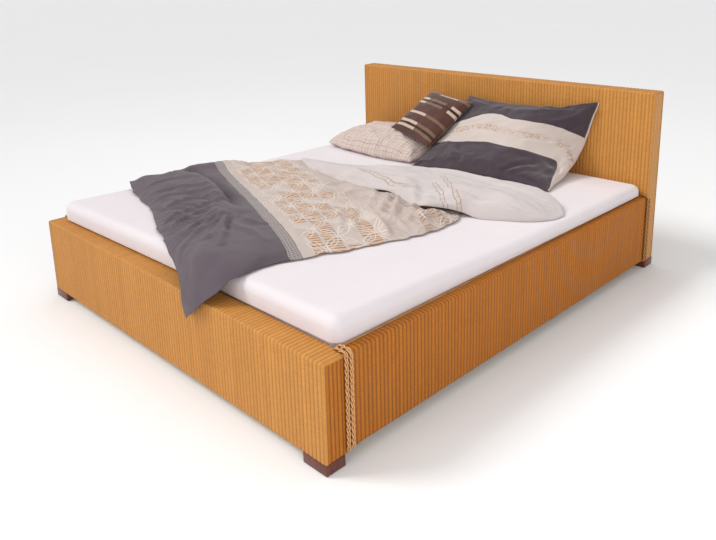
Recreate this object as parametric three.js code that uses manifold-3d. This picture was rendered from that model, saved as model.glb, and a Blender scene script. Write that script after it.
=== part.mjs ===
// A double bed in woven paper wicker over a timber frame, with its mattress and its bedding.
// Millimetres. X runs across the bed, Y runs from the footboard to the headboard and Z is up.
// The origin is on the floor under the middle of the bed, where the centre leg stands.

import * as THREE from "three";
import { mergeVertices } from "three/addons/utils/BufferGeometryUtils.js";
import Module from "manifold-3d";

const wasm = await Module();
wasm.setup();

// Mattress and fitted sheet
const MATTRESS_WIDTH = 1800;
const MATTRESS_LENGTH = 2000;
const MATTRESS_HEIGHT = 188;
const MATTRESS_CORNER_RADIUS = 30;
const MATTRESS_EDGE_RADIUS = 22;
const MATTRESS_FOOT_RISE = 32;
const MATTRESS_BULGE_LEFT = 38;
const MATTRESS_BULGE_RIGHT = 4;
const MATTRESS_BULGE_REACH = 160;
const MATTRESS_BULGE_SIDE = 22;
const BULGE_FROM = 3;
const BULGE_TO = 30;
const SHEET_THICKNESS = 2;
const SHEET_EASE = 0.3;
const SHEET_TUCK = 24;
const MATTRESS_SIDE_CLEARANCE = 5;
const MATTRESS_END_CLEARANCE = 10;

// Woven boards at the two ends
const BOARD_THICKNESS = 100;
const HEADBOARD_TOP = 880;
const FOOTBOARD_TOP = 375;
const WEAVE_THICKNESS = 4;
const BOARD_EDGE_RADIUS = 9;
const POST_WIDTH = 100;
const BOARD_RAIL_HEIGHT = 60;
const PANEL_THICKNESS = 6;

// Block feet
const FOOT_HEIGHT = 40;
const FOOT_WIDTH = 110;
const FOOT_DEPTH = 80;

// Side rails
const RAIL_THICKNESS = 50;
const RAIL_BOTTOM = 50;
const EDGING_WIDTH = 8;
const EDGING_HEIGHT = 18;
const EDGING_GROOVE = 1;

// Plaited braid trims beside each corner joint
const BRAID_WIDTH = 17;
const BRAID_THICKNESS = 3;
const BRAID_JOINT_GAP = 1.5;
const BRAID_TOP_SETBACK = 9;

// Support inside the frame
const LEDGER_WIDTH = 30;
const LEDGER_HEIGHT = 45;
const SLAT_TOP = 245;
const SLAT_THICKNESS = 20;
const SLAT_WIDTH = 110;
const SLAT_COUNT = 11;
const SLAT_END_PLAY = 3;
const SLAT_ROW_MARGIN = 6;
const BEAM_WIDTH = 50;
const BEAM_HEIGHT = 70;
const LEG_SIDE = 50;
const STEEL_THICKNESS = 3;
const BRACKET_LEG = 55;
const BRACKET_HEIGHT = 85;
const BRACKET_DROP = 8;
const HANGER_SEAT = 40;
const HANGER_WING = 22;

// Loose bedding: what lies on another piece keeps this much air under it
const REST_GAP = 0.5;

// Pillows: width along X, seam points in the plane across the bed, crowns and drawn-in sides
const PILLOW_SIDE_PINCH = 0.055;
const PILLOW_EDGE_PINCH = 0.03;
const PILLOW_SPACING = 10;
const PILLOW_JOINT_X = -105;
const PILLOW_SEAM_LIFT = 22;
const LEFT_PILLOW_WIDTH = 745;
const LEFT_PILLOW_CROWN = 95;
const LEFT_PILLOW_UNDER = 60;
const LEFT_PILLOW_FRONT = 505;
const LEFT_PILLOW_BACK = 40;
const LEFT_PILLOW_MIDDLE_RISE = 42;
const LEFT_PILLOW_BACK_RISE = 55;
const LEFT_PILLOW_CORNER_PULL = 65;
const RIGHT_PILLOW_WIDTH = 800;
const RIGHT_PILLOW_CROWN = 92;
const RIGHT_PILLOW_UNDER = 80;
const RIGHT_PILLOW_FRONT = 475;
const RIGHT_PILLOW_BACK = 42;
const RIGHT_PILLOW_BEND = 300;
const RIGHT_PILLOW_BEND_RISE = 52;
const RIGHT_PILLOW_RISE = 355;

// Throw cushion
const CUSHION_SIDE = 366;
const CUSHION_CROWN = 52;
const CUSHION_PINCH = 0.05;
const CUSHION_LEAN = 35;
const CUSHION_TURN = -18;
const CUSHION_ROLL = 8;
const CUSHION_X = -205;
const CUSHION_FROM_HEADBOARD = 230;

// Duvet
const DUVET_THICKNESS = 48;
const DUVET_TURNED_THICKNESS = 40;
const DUVET_SEAM_LIFT = 24;
const DUVET_HANGING_SHARE = 0.55;
const DUVET_EDGE_BAND = 16;
const TURNED_FROM_Y = [-60, 30];
const TURNED_FROM_X = [-700, -520];
const TURNED_SLANT = 0.06;
const TURNED_TIP_FROM_X = [500, 840];
const TURNED_TIP_SHARE = 0.22;
const DRAPE_START = 40;

// Grid fineness of the soft pieces
const PILLOW_CELLS = 18;
const CUSHION_CELLS = 14;
const DUVET_CELLS_ACROSS = 24;
const DUVET_CELLS_ALONG = 25;
const CORNER_SEGMENTS = 4;
const MATTRESS_LONG_STEPS = 10;
const MATTRESS_TOP_RINGS = 3;

// Everything below follows from the sizes above
const innerWidth = MATTRESS_WIDTH + 2 * MATTRESS_SIDE_CLEARANCE;
const innerLength = MATTRESS_LENGTH + 2 * MATTRESS_END_CLEARANCE;
const bedHalfWidth = innerWidth / 2 + RAIL_THICKNESS;
const headFace = innerLength / 2;
const footFace = -innerLength / 2;
const headBack = headFace + BOARD_THICKNESS;
const footFront = footFace - BOARD_THICKNESS;
const railCoreInner = innerWidth / 2 + EDGING_WIDTH;
const railCoreOuter = bedHalfWidth - WEAVE_THICKNESS;
const slatBottom = SLAT_TOP - SLAT_THICKNESS;
const sheetTop = SLAT_TOP + MATTRESS_HEIGHT + SHEET_THICKNESS;

const smoothStep = (low, high, value) => THREE.MathUtils.smoothstep(value, low, high);

const material = (color, roughness, metalness = 0) =>
  new THREE.MeshStandardMaterial({ color, roughness, metalness });

const finish = {
  wicker: material(0xd6a04c, 0.62),
  braid: material(0xd9ad78, 0.66),
  edging: material(0xc99a5e, 0.7),
  mahogany: material(0x7a3226, 0.42),
  timber: material(0xcfae7d, 0.6),
  plywood: material(0xc9a877, 0.65),
  steel: material(0x8f9499, 0.38, 1),
  ticking: material(0xe9e6e0, 0.9),
  sheet: material(0xf1edef, 0.85),
  duvet: material(0x8b8287, 0.88),
  pillowCream: material(0xdcccc2, 0.88),
  pillowGrey: material(0x6f666b, 0.88),
  cushion: material(0x55382f, 0.9),
};

const bed = new THREE.Group();

function addPiece(name, geometry, look) {
  const mesh = new THREE.Mesh(geometry, look);
  mesh.name = name;
  bed.add(mesh);
  return mesh;
}

// A board between two corners, with its own name in the group
function addBlock(name, look, [x0, x1], [y0, y1], [z0, z1]) {
  const mesh = addPiece(name, new THREE.BoxGeometry(x1 - x0, y1 - y0, z1 - z0), look);
  mesh.position.set((x0 + x1) / 2, (y0 + y1) / 2, (z0 + z1) / 2);
  return mesh;
}

// Orders a span that was mirrored to the other side
const span = (a, b) => [Math.min(a, b), Math.max(a, b)];

function geometryFrom(points, triangles) {
  const geometry = new THREE.BufferGeometry();
  geometry.setAttribute("position", new THREE.Float32BufferAttribute(points.flat(), 3));
  geometry.setIndex(triangles.flat());
  geometry.computeVertexNormals();
  return geometry;
}

function solidFrom(geometry) {
  const bare = geometry.clone();
  bare.deleteAttribute("normal");
  bare.deleteAttribute("uv");
  const merged = mergeVertices(bare, 1e-3);
  return new wasm.Manifold(
    new wasm.Mesh({
      numProp: 3,
      vertProperties: merged.attributes.position.array,
      triVerts: new Uint32Array(merged.index.array),
    }),
  );
}

function geometryOf(solid) {
  const mesh = solid.getMesh();
  const points = [];
  for (let i = 0; i < mesh.numVert; i += 1) {
    points.push([...mesh.vertProperties.subarray(i * mesh.numProp, i * mesh.numProp + 3)]);
  }
  return geometryFrom(points, [[...mesh.triVerts]]);
}

// One level of a rounded block: a rectangle with rounded corners, drawn in by an inset.
// The long sides, along Y, may be cut into steps so that they can follow a curve.
function roundedRing({ halfX, halfY, corner: cornerRadius, longSteps = 1 }, inset, z) {
  const radius = Math.max(cornerRadius - inset, 0.5);
  const straight = halfY - inset - radius;
  const ring = [];
  for (let corner = 0; corner < 4; corner += 1) {
    const signX = corner === 0 || corner === 3 ? 1 : -1;
    const signY = corner < 2 ? 1 : -1;
    for (let i = 0; i <= CORNER_SEGMENTS; i += 1) {
      const angle = ((corner + i / CORNER_SEGMENTS) * Math.PI) / 2;
      ring.push([
        signX * (halfX - inset - radius) + radius * Math.cos(angle),
        signY * straight + radius * Math.sin(angle),
        z,
      ]);
    }
    const startsLongSide = corner % 2 === 1;
    for (let i = 1; startsLongSide && i < longSteps; i += 1) {
      ring.push([signX * (halfX - inset), signY * straight * (1 - (2 * i) / longSteps), z]);
    }
  }
  return ring;
}

// A closed block whose upright corners and top edge are rounded, and its bottom edge if asked.
// waists are extra levels up the sides, and topRings extra rings across the top.
function roundedBlock(shape) {
  const { halfX, bottom, top, edge, bottomEdge = 0, waists = [], topRings = 0 } = shape;
  const rings = [];
  const addRing = (inset, z) => rings.push(roundedRing(shape, inset, z));
  const quarter = (i) => ((i / CORNER_SEGMENTS) * Math.PI) / 2;
  if (bottomEdge > 0) {
    for (let i = 0; i < CORNER_SEGMENTS; i += 1) {
      const inset = bottomEdge * (1 - Math.sin(quarter(i)));
      const z = bottom + bottomEdge * (1 - Math.cos(quarter(i)));
      addRing(inset, z);
    }
  }
  addRing(0, bottom + bottomEdge);
  waists.forEach((z) => addRing(0, z));
  for (let i = 0; i <= CORNER_SEGMENTS; i += 1) {
    addRing(edge * (1 - Math.cos(quarter(i))), top - edge * (1 - Math.sin(quarter(i))));
  }
  for (let i = 1; i <= topRings; i += 1) {
    addRing(edge + ((halfX - edge) * i) / (topRings + 1), top);
  }
  const count = rings[0].length;
  const points = rings.flat();
  const triangles = [];
  for (let level = 0; level < rings.length - 1; level += 1) {
    for (let i = 0; i < count; i += 1) {
      const a = level * count + i;
      const b = level * count + ((i + 1) % count);
      triangles.push([a, b, b + count], [a, b + count, a + count]);
    }
  }
  const bottomCentre = points.push([0, 0, bottom]) - 1;
  const topCentre = points.push([0, 0, top]) - 1;
  const lastRing = (rings.length - 1) * count;
  for (let i = 0; i < count; i += 1) {
    const next = (i + 1) % count;
    triangles.push([next, i, bottomCentre]);
    triangles.push([lastRing + i, lastRing + next, topCentre]);
  }
  return geometryFrom(points, triangles);
}

// A stuffed piece: a grid of cells on each face, and the two faces meet in one seam all round.
// place(u, v, side) gives a point, where u and v run from -1 to 1 and side is 1 or -1.
function stuffedGeometry(cellsU, cellsV, place) {
  const points = [];
  const triangles = [];
  const faces = [1, -1].map((side) => {
    const index = [];
    for (let i = 0; i <= cellsU; i += 1) {
      index.push([]);
      for (let j = 0; j <= cellsV; j += 1) {
        index[i].push(0);
        const onSeam = i === 0 || j === 0 || i === cellsU || j === cellsV;
        if (side < 0 && onSeam) continue;
        index[i][j] = points.push(place((2 * i) / cellsU - 1, (2 * j) / cellsV - 1, side)) - 1;
      }
    }
    return index;
  });
  const at = (face, i, j) => {
    const onSeam = i === 0 || j === 0 || i === cellsU || j === cellsV;
    return onSeam ? faces[0][i][j] : faces[face][i][j];
  };
  for (let i = 0; i < cellsU; i += 1) {
    for (let j = 0; j < cellsV; j += 1) {
      for (const face of [0, 1]) {
        const [a, b] = [at(face, i, j), at(face, i + 1, j)];
        const [c, d] = [at(face, i + 1, j + 1), at(face, i, j + 1)];
        const cell = [
          [a, b, c],
          [a, c, d],
        ];
        triangles.push(...(face === 0 ? cell : cell.map(([p, q, r]) => [p, r, q])));
      }
    }
  }
  return geometryFrom(points, triangles);
}

// Packs the cells closer towards the seams
const easeToSeam = (value) => Math.sin((value * Math.PI) / 2);

// Full in the middle, closing steeply at the seam
const crownShare = (u, v) => Math.sqrt((1 - u * u) * (1 - v * v));

// End boards: a timber frame between two plywood panels, under one woven cover
function endBoard(name, near, far, top, panelNames) {
  const outer = roundedBlock({
    halfX: bedHalfWidth,
    halfY: BOARD_THICKNESS / 2,
    bottom: FOOT_HEIGHT,
    top,
    corner: BOARD_EDGE_RADIUS,
    edge: BOARD_EDGE_RADIUS,
  });
  const insideX = bedHalfWidth - WEAVE_THICKNESS;
  const insideTop = top - WEAVE_THICKNESS;
  const hollowDepth = WEAVE_THICKNESS;
  const hollow = new THREE.BoxGeometry(
    2 * insideX,
    BOARD_THICKNESS - 2 * WEAVE_THICKNESS,
    insideTop - FOOT_HEIGHT + hollowDepth,
  );
  hollow.translate(0, 0, (insideTop + FOOT_HEIGHT - hollowDepth) / 2);
  const cover = geometryOf(solidFrom(outer).subtract(solidFrom(hollow)));
  addPiece(name + "_woven_cover", cover, finish.wicker).position.y = (near + far) / 2;

  const nearPanel = near + WEAVE_THICKNESS;
  const farPanel = far - WEAVE_THICKNESS;
  const acrossInside = [-insideX, insideX];
  const upInside = [FOOT_HEIGHT, insideTop];
  const frameY = [nearPanel + PANEL_THICKNESS, farPanel - PANEL_THICKNESS];
  addBlock(name + panelNames[0], finish.plywood, acrossInside, [nearPanel, frameY[0]], upInside);
  addBlock(name + panelNames[1], finish.plywood, acrossInside, [frameY[1], farPanel], upInside);

  const betweenPosts = [-insideX + POST_WIDTH, insideX - POST_WIDTH];
  for (const [side, sign] of [["left", -1], ["right", 1]]) {
    const acrossPost = span(sign * (insideX - POST_WIDTH), sign * insideX);
    addBlock(name + "_post_" + side, finish.timber, acrossPost, frameY, upInside);
  }
  const topRail = [insideTop - BOARD_RAIL_HEIGHT, insideTop];
  const bottomRail = [FOOT_HEIGHT, FOOT_HEIGHT + BOARD_RAIL_HEIGHT];
  addBlock(name + "_top_rail", finish.timber, betweenPosts, frameY, topRail);
  addBlock(name + "_bottom_rail", finish.timber, betweenPosts, frameY, bottomRail);
}

// The woven cover of a side rail: down the outer face and over the top to the groove
function railCoverProfile() {
  const railTop = FOOTBOARD_TOP;
  const groove = railCoreInner + EDGING_GROOVE;
  const profile = new THREE.Shape();
  profile.moveTo(bedHalfWidth, RAIL_BOTTOM);
  profile.lineTo(bedHalfWidth, railTop - BOARD_EDGE_RADIUS);
  profile.absarc(
    bedHalfWidth - BOARD_EDGE_RADIUS,
    railTop - BOARD_EDGE_RADIUS,
    BOARD_EDGE_RADIUS,
    0,
    Math.PI / 2,
    false,
  );
  profile.lineTo(groove, railTop);
  profile.lineTo(groove, railTop - WEAVE_THICKNESS);
  profile.lineTo(railCoreOuter, railTop - WEAVE_THICKNESS);
  profile.lineTo(railCoreOuter, RAIL_BOTTOM);
  profile.closePath();
  return profile;
}

function sideRail(side, sign) {
  const along = [footFace, headFace];
  const cover = new THREE.ExtrudeGeometry(railCoverProfile(), {
    depth: innerLength,
    bevelEnabled: false,
    curveSegments: CORNER_SEGMENTS,
  });
  cover.rotateX(Math.PI / 2);
  const coverMesh = addPiece("side_rail_cover_" + side, cover, finish.wicker);
  coverMesh.position.y = sign > 0 ? headFace : footFace;
  coverMesh.rotation.z = sign > 0 ? 0 : Math.PI;

  const across = (a, b) => span(sign * a, sign * b);
  const coreTop = FOOTBOARD_TOP - WEAVE_THICKNESS;
  const edgingUp = [FOOTBOARD_TOP - EDGING_HEIGHT, FOOTBOARD_TOP];
  const ledgerUp = [slatBottom - LEDGER_HEIGHT, slatBottom];
  const coreAcross = across(railCoreInner, railCoreOuter);
  addBlock("side_rail_core_" + side, finish.timber, coreAcross, along, [RAIL_BOTTOM, coreTop]);
  const edgingAcross = across(railCoreInner - EDGING_WIDTH, railCoreInner);
  addBlock("side_rail_edging_" + side, finish.edging, edgingAcross, along, edgingUp);
  const ledgerAcross = across(railCoreInner - LEDGER_WIDTH, railCoreInner);
  addBlock("ledger_strip_" + side, finish.timber, ledgerAcross, along, ledgerUp);
}

// Two braids stand beside each corner joint: one on the end board and one on the rail
function cornerBraids(side, sign) {
  const across = span(sign * bedHalfWidth, sign * (bedHalfWidth + BRAID_THICKNESS));
  const up = [RAIL_BOTTOM, FOOTBOARD_TOP - BRAID_TOP_SETBACK];
  const strip = (name, joint, away) => {
    const along = span(joint + away * BRAID_JOINT_GAP, joint + away * (BRAID_JOINT_GAP + BRAID_WIDTH));
    addBlock(name + side, finish.braid, across, along, up);
  };
  strip("braid_footboard_", footFace, -1);
  strip("braid_rail_foot_end_", footFace, 1);
  strip("braid_rail_head_end_", headFace, -1);
  strip("braid_headboard_", headFace, 1);
}

function feet(side, sign) {
  const across = span(sign * (bedHalfWidth - FOOT_WIDTH), sign * bedHalfWidth);
  const up = [0, FOOT_HEIGHT];
  addBlock("foot_front_" + side, finish.mahogany, across, [footFront, footFront + FOOT_DEPTH], up);
  addBlock("foot_head_" + side, finish.mahogany, across, [headBack - FOOT_DEPTH, headBack], up);
}

// A steel angle ties the inner face of a rail to the face of an end board
function cornerBracket(name, sign, face, inward) {
  const corner = new THREE.Shape();
  corner.moveTo(0, 0);
  corner.lineTo(BRACKET_LEG, 0);
  corner.lineTo(BRACKET_LEG, STEEL_THICKNESS);
  corner.lineTo(STEEL_THICKNESS, STEEL_THICKNESS);
  corner.lineTo(STEEL_THICKNESS, BRACKET_LEG);
  corner.lineTo(0, BRACKET_LEG);
  corner.closePath();
  const angle = new THREE.ExtrudeGeometry(corner, { depth: BRACKET_HEIGHT, bevelEnabled: false });
  const bracket = addPiece(name, angle, finish.steel);
  const top = slatBottom - LEDGER_HEIGHT - BRACKET_DROP;
  bracket.position.set(sign * railCoreInner, face, top - BRACKET_HEIGHT);
  const quarterTurns = { "1,1": 1, "1,-1": 2, "-1,-1": 3, "-1,1": 0 }[sign + "," + inward];
  bracket.rotation.z = (quarterTurns * Math.PI) / 2;
}

// The beam under the slats hangs on a steel seat at each end board and stands on the centre leg
function centreSupport() {
  const beamBottom = slatBottom - BEAM_HEIGHT;
  const halfBeam = BEAM_WIDTH / 2;
  const beamAcross = [-halfBeam, halfBeam];
  const beamAlong = [footFace + STEEL_THICKNESS, headFace - STEEL_THICKNESS];
  addBlock("centre_beam", finish.timber, beamAcross, beamAlong, [beamBottom, slatBottom]);
  const halfLeg = LEG_SIDE / 2;
  addBlock("centre_leg", finish.timber, [-halfLeg, halfLeg], [-halfLeg, halfLeg], [0, beamBottom]);

  for (const [name, sign] of [["beam_hanger_head", 1], ["beam_hanger_foot", -1]]) {
    const profile = new THREE.Shape();
    const seatTop = beamBottom;
    const face = headFace;
    profile.moveTo(face, seatTop - STEEL_THICKNESS);
    profile.lineTo(face, slatBottom);
    profile.lineTo(face - STEEL_THICKNESS, slatBottom);
    profile.lineTo(face - STEEL_THICKNESS, seatTop);
    profile.lineTo(face - HANGER_SEAT, seatTop);
    profile.lineTo(face - HANGER_SEAT, seatTop - STEEL_THICKNESS);
    profile.closePath();
    const width = BEAM_WIDTH + 2 * HANGER_WING;
    const hanger = new THREE.ExtrudeGeometry(profile, { depth: width, bevelEnabled: false });
    hanger.rotateX(Math.PI / 2);
    hanger.rotateZ(Math.PI / 2);
    hanger.translate(-width / 2, 0, 0);
    addPiece(name, hanger, finish.steel).rotation.z = sign > 0 ? 0 : Math.PI;
  }
}

function slats() {
  const slatAcross = [-railCoreInner + SLAT_END_PLAY, railCoreInner - SLAT_END_PLAY];
  const firstCentre = -MATTRESS_LENGTH / 2 + SLAT_ROW_MARGIN + SLAT_WIDTH / 2;
  const pitch = (-2 * firstCentre) / (SLAT_COUNT - 1);
  for (let i = 0; i < SLAT_COUNT; i += 1) {
    const centre = firstCentre + i * pitch;
    const slatAlong = [centre - SLAT_WIDTH / 2, centre + SLAT_WIDTH / 2];
    const name = "slat_" + String(i + 1).padStart(2, "0");
    addBlock(name, finish.timber, slatAcross, slatAlong, [slatBottom, SLAT_TOP]);
  }
}

// From its middle on the mattress stands higher towards its foot end
const mattressRise = (y) => (MATTRESS_FOOT_RISE * Math.max(0, -y)) / (MATTRESS_LENGTH / 2);

// Takes a point of a straight mattress to its place in the bed: raised at the foot end, where
// it bulges over the footboard, most on the left, and bulging over the right rail at the head
function beddedPoint([x, y, z]) {
  const [halfX, halfY] = [MATTRESS_WIDTH / 2, MATTRESS_LENGTH / 2];
  const aboveBoard = smoothStep(FOOTBOARD_TOP + BULGE_FROM, FOOTBOARD_TOP + BULGE_TO, z);
  const atFoot = smoothStep(halfY - MATTRESS_BULGE_REACH, halfY, -y);
  const atRight = smoothStep(halfX - MATTRESS_BULGE_REACH, halfX, x);
  const towardsHead = smoothStep(-halfY, halfY, y);
  const towardsRight = (1 + x / halfX) / 2;
  const footBulge = THREE.MathUtils.lerp(MATTRESS_BULGE_LEFT, MATTRESS_BULGE_RIGHT, towardsRight);
  const sideBulge = MATTRESS_BULGE_SIDE * towardsHead;
  const heightShare = THREE.MathUtils.clamp((z - SLAT_TOP) / MATTRESS_HEIGHT, 0, 1);
  return [
    x + sideBulge * aboveBoard * atRight,
    y - footBulge * aboveBoard * atFoot,
    z + mattressRise(y) * heightShare,
  ];
}

function bedded(geometry) {
  const places = geometry.attributes.position;
  for (let i = 0; i < places.count; i += 1) {
    places.setXYZ(i, ...beddedPoint([places.getX(i), places.getY(i), places.getZ(i)]));
  }
  geometry.computeVertexNormals();
  return geometry;
}

function mattress() {
  const core = {
    halfX: MATTRESS_WIDTH / 2,
    halfY: MATTRESS_LENGTH / 2,
    bottom: SLAT_TOP,
    top: SLAT_TOP + MATTRESS_HEIGHT,
    corner: MATTRESS_CORNER_RADIUS,
    edge: MATTRESS_EDGE_RADIUS,
    bottomEdge: MATTRESS_EDGE_RADIUS,
    longSteps: MATTRESS_LONG_STEPS,
    waists: [FOOTBOARD_TOP + BULGE_FROM, FOOTBOARD_TOP + (BULGE_FROM + BULGE_TO) / 2],
    topRings: MATTRESS_TOP_RINGS,
  };
  const grown = (by) => ({
    ...core,
    halfX: core.halfX + by,
    halfY: core.halfY + by,
    top: core.top + by,
    corner: core.corner + by,
    edge: core.edge + by,
    bottomEdge: 0,
  });
  addPiece("mattress", bedded(roundedBlock(core)), finish.ticking);
  const skirt = SLAT_TOP + SHEET_TUCK;
  const shell = bedded(roundedBlock({ ...grown(SHEET_THICKNESS), bottom: skirt }));
  const room = bedded(roundedBlock({ ...grown(SHEET_EASE), bottom: SLAT_TOP - SHEET_TUCK }));
  addPiece("fitted_sheet", geometryOf(solidFrom(shell).subtract(solidFrom(room))), finish.sheet);
}

// The height at which the underside of the bedding lies
const beddingHeight = (y) => sheetTop + REST_GAP + mattressRise(y);

// A pillow whose middle sheet follows an arc up from the mattress towards the headboard.
// The arc's points are distances along the bed and heights above the mattress.
function pillowGeometry({ centreX, width, arc, crown, under, cornerPull = 0 }) {
  const spine = new THREE.QuadraticBezierCurve(...arc);
  const limitY = headFace - REST_GAP;
  return stuffedGeometry(PILLOW_CELLS, PILLOW_CELLS, (a, b, side) => {
    const u = easeToSeam(a);
    const v = easeToSeam(b);
    const acrossShare = u * (1 - PILLOW_SIDE_PINCH * (1 - v * v));
    const alongShare = v * (1 - PILLOW_EDGE_PINCH * (1 - u * u));
    const t = (alongShare + 1) / 2;
    const middle = spine.getPoint(t);
    const tangent = spine.getTangent(t);
    const depth = (side > 0 ? crown : under) * crownShare(u, v) * side;
    const pull = cornerPull * ((1 - u) / 2) ** 3 * ((1 - v) / 2) ** 2;
    const y = middle.x - tangent.y * depth + pull;
    const z = middle.y + tangent.x * depth;
    const x = centreX + (acrossShare * width) / 2;
    return [x, Math.min(y, limitY), beddingHeight(y) + Math.max(z, 0)];
  });
}

function pillows() {
  const point = (y, z) => new THREE.Vector2(y, z);
  const leftBack = headFace - LEFT_PILLOW_BACK;
  const left = pillowGeometry({
    centreX: PILLOW_JOINT_X - (PILLOW_SPACING + LEFT_PILLOW_WIDTH) / 2,
    width: LEFT_PILLOW_WIDTH,
    arc: [
      point(LEFT_PILLOW_FRONT, PILLOW_SEAM_LIFT),
      point((LEFT_PILLOW_FRONT + leftBack) / 2, LEFT_PILLOW_MIDDLE_RISE),
      point(leftBack, LEFT_PILLOW_BACK_RISE),
    ],
    crown: LEFT_PILLOW_CROWN,
    under: LEFT_PILLOW_UNDER,
    cornerPull: LEFT_PILLOW_CORNER_PULL,
  });
  const rightFront = headFace - RIGHT_PILLOW_FRONT;
  const right = pillowGeometry({
    centreX: PILLOW_JOINT_X + (PILLOW_SPACING + RIGHT_PILLOW_WIDTH) / 2,
    width: RIGHT_PILLOW_WIDTH,
    arc: [
      point(rightFront, PILLOW_SEAM_LIFT),
      point(rightFront + RIGHT_PILLOW_BEND, RIGHT_PILLOW_BEND_RISE),
      point(headFace - RIGHT_PILLOW_BACK, RIGHT_PILLOW_RISE),
    ],
    crown: RIGHT_PILLOW_CROWN,
    under: RIGHT_PILLOW_UNDER,
  });
  return [
    addPiece("pillow_left", left, finish.pillowCream),
    addPiece("pillow_right", right, finish.pillowGrey),
  ];
}

// The least upright distance between a piece and what lies under it
function leastDrop(upper, lowers) {
  const caster = new THREE.Raycaster();
  const point = new THREE.Vector3();
  let least = Infinity;
  const measure = (from, targets, direction) => {
    from.updateMatrixWorld();
    const places = from.geometry.attributes.position;
    for (let i = 0; i < places.count; i += 1) {
      point.fromBufferAttribute(places, i).applyMatrix4(from.matrixWorld);
      caster.set(point, new THREE.Vector3(0, 0, direction));
      const [hit] = caster.intersectObjects(targets);
      if (hit) least = Math.min(least, hit.distance);
    }
  };
  const doubleSided = [upper, ...lowers].map((mesh) => mesh.material);
  doubleSided.forEach((look) => (look.side = THREE.DoubleSide));
  measure(upper, lowers, -1);
  lowers.forEach((lower) => measure(lower, [upper], 1));
  doubleSided.forEach((look) => (look.side = THREE.FrontSide));
  return least;
}

// The throw cushion lies on the left pillow and leans back towards the headboard
function cushion(restsOn) {
  const geometry = stuffedGeometry(CUSHION_CELLS, CUSHION_CELLS, (a, b, side) => {
    const u = easeToSeam(a);
    const v = easeToSeam(b);
    const half = CUSHION_SIDE / 2;
    return [
      half * u * (1 - CUSHION_PINCH * (1 - v * v)),
      half * v * (1 - CUSHION_PINCH * (1 - u * u)),
      side * CUSHION_CROWN * crownShare(u, v),
    ];
  });
  const mesh = addPiece("cushion", geometry, finish.cushion);
  const degrees = THREE.MathUtils.degToRad;
  mesh.rotation.set(degrees(CUSHION_LEAN), degrees(CUSHION_ROLL), degrees(CUSHION_TURN), "ZXY");
  mesh.position.set(CUSHION_X, headFace - CUSHION_FROM_HEADBOARD, 2 * HEADBOARD_TOP);
  mesh.position.z -= leastDrop(mesh, restsOn) - REST_GAP;
  mesh.updateMatrixWorld();
}

// The duvet's four edges as it lies: distance across, and distance along its underside.
// Past the mattress the second number runs on over the footboard and down its front.
const duvetEdges = {
  foot: [
    [-915, -690],
    [-660, -785],
    [-400, -890],
    [-150, -985],
    [105, -1070],
    [222, -1150],
    [250, -1240],
  ],
  right: [
    [250, -1240],
    [392, -1140],
    [411, -1000],
    [448, -803],
    [507, -662],
    [561, -451],
    [600, -200],
    [605, 0],
    [722, 122],
    [850, 222],
    [882, 330],
  ],
  head: [
    [-695, 225],
    [-510, 225],
    [-396, 290],
    [-181, 350],
    [0, 410],
    [180, 455],
    [358, 478],
    [573, 485],
    [720, 470],
    [812, 430],
    [882, 330],
  ],
  left: [
    [-915, -690],
    [-912, -450],
    [-895, -234],
    [-832, -90],
    [-760, 60],
    [-695, 225],
  ],
};

// Each fold is a ridge between two points, with its height and its half width
const duvetFolds = [
  { from: [-800, -320], to: [-730, -40], height: 34, reach: 100 },
  { from: [-860, -560], to: [-330, -560], height: 18, reach: 60 },
  { from: [-700, -330], to: [-330, -560], height: 16, reach: 45 },
  { from: [-330, -560], to: [120, -900], height: 14, reach: 50 },
  { from: [-330, -560], to: [-250, -860], height: 14, reach: 45 },
  { from: [-240, -520], to: [300, -700], height: 12, reach: 45 },
  { from: [-560, -120], to: [40, -260], height: 22, reach: 70 },
  { from: [60, -240], to: [520, -330], height: 20, reach: 60 },
  { from: [-100, -60], to: [460, -90], height: 16, reach: 60 },
  { from: [-560, 120], to: [120, 210], height: 24, reach: 70 },
  { from: [180, 330], to: [600, 360], height: 22, reach: 70 },
];

// Underside path from the mattress over the footboard: distance along the bed, and height
function drapePath() {
  const overEdge = footFace + MATTRESS_END_CLEARANCE;
  const boardFront = footFront - REST_GAP;
  const start = overEdge + DRAPE_START;
  const points = [
    [start, beddingHeight(start)],
    [overEdge + 4, beddingHeight(overEdge) + 3],
    [overEdge - 44, beddingHeight(overEdge) - 7],
    [boardFront + 6, FOOTBOARD_TOP + 28],
    [boardFront - 14, FOOTBOARD_TOP - 6],
    [boardFront - 17, FOOTBOARD_TOP - 60],
    [boardFront - 17, FOOTBOARD_TOP - 170],
  ];
  return new THREE.CatmullRomCurve3(points.map(([y, z]) => new THREE.Vector3(0, y, z)));
}

function ridgeHeight(folds, x, y) {
  const here = new THREE.Vector2(x, y);
  return folds.reduce((sum, { from, to, height, reach }) => {
    const start = new THREE.Vector2(...from);
    const run = new THREE.Vector2(...to).sub(start);
    const offset = here.clone().sub(start);
    const share = THREE.MathUtils.clamp(offset.dot(run) / run.lengthSq(), 0, 1);
    const distance = offset.sub(run.multiplyScalar(share)).length();
    return sum + height * Math.exp(-((distance / reach) ** 2));
  }, 0);
}

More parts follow.
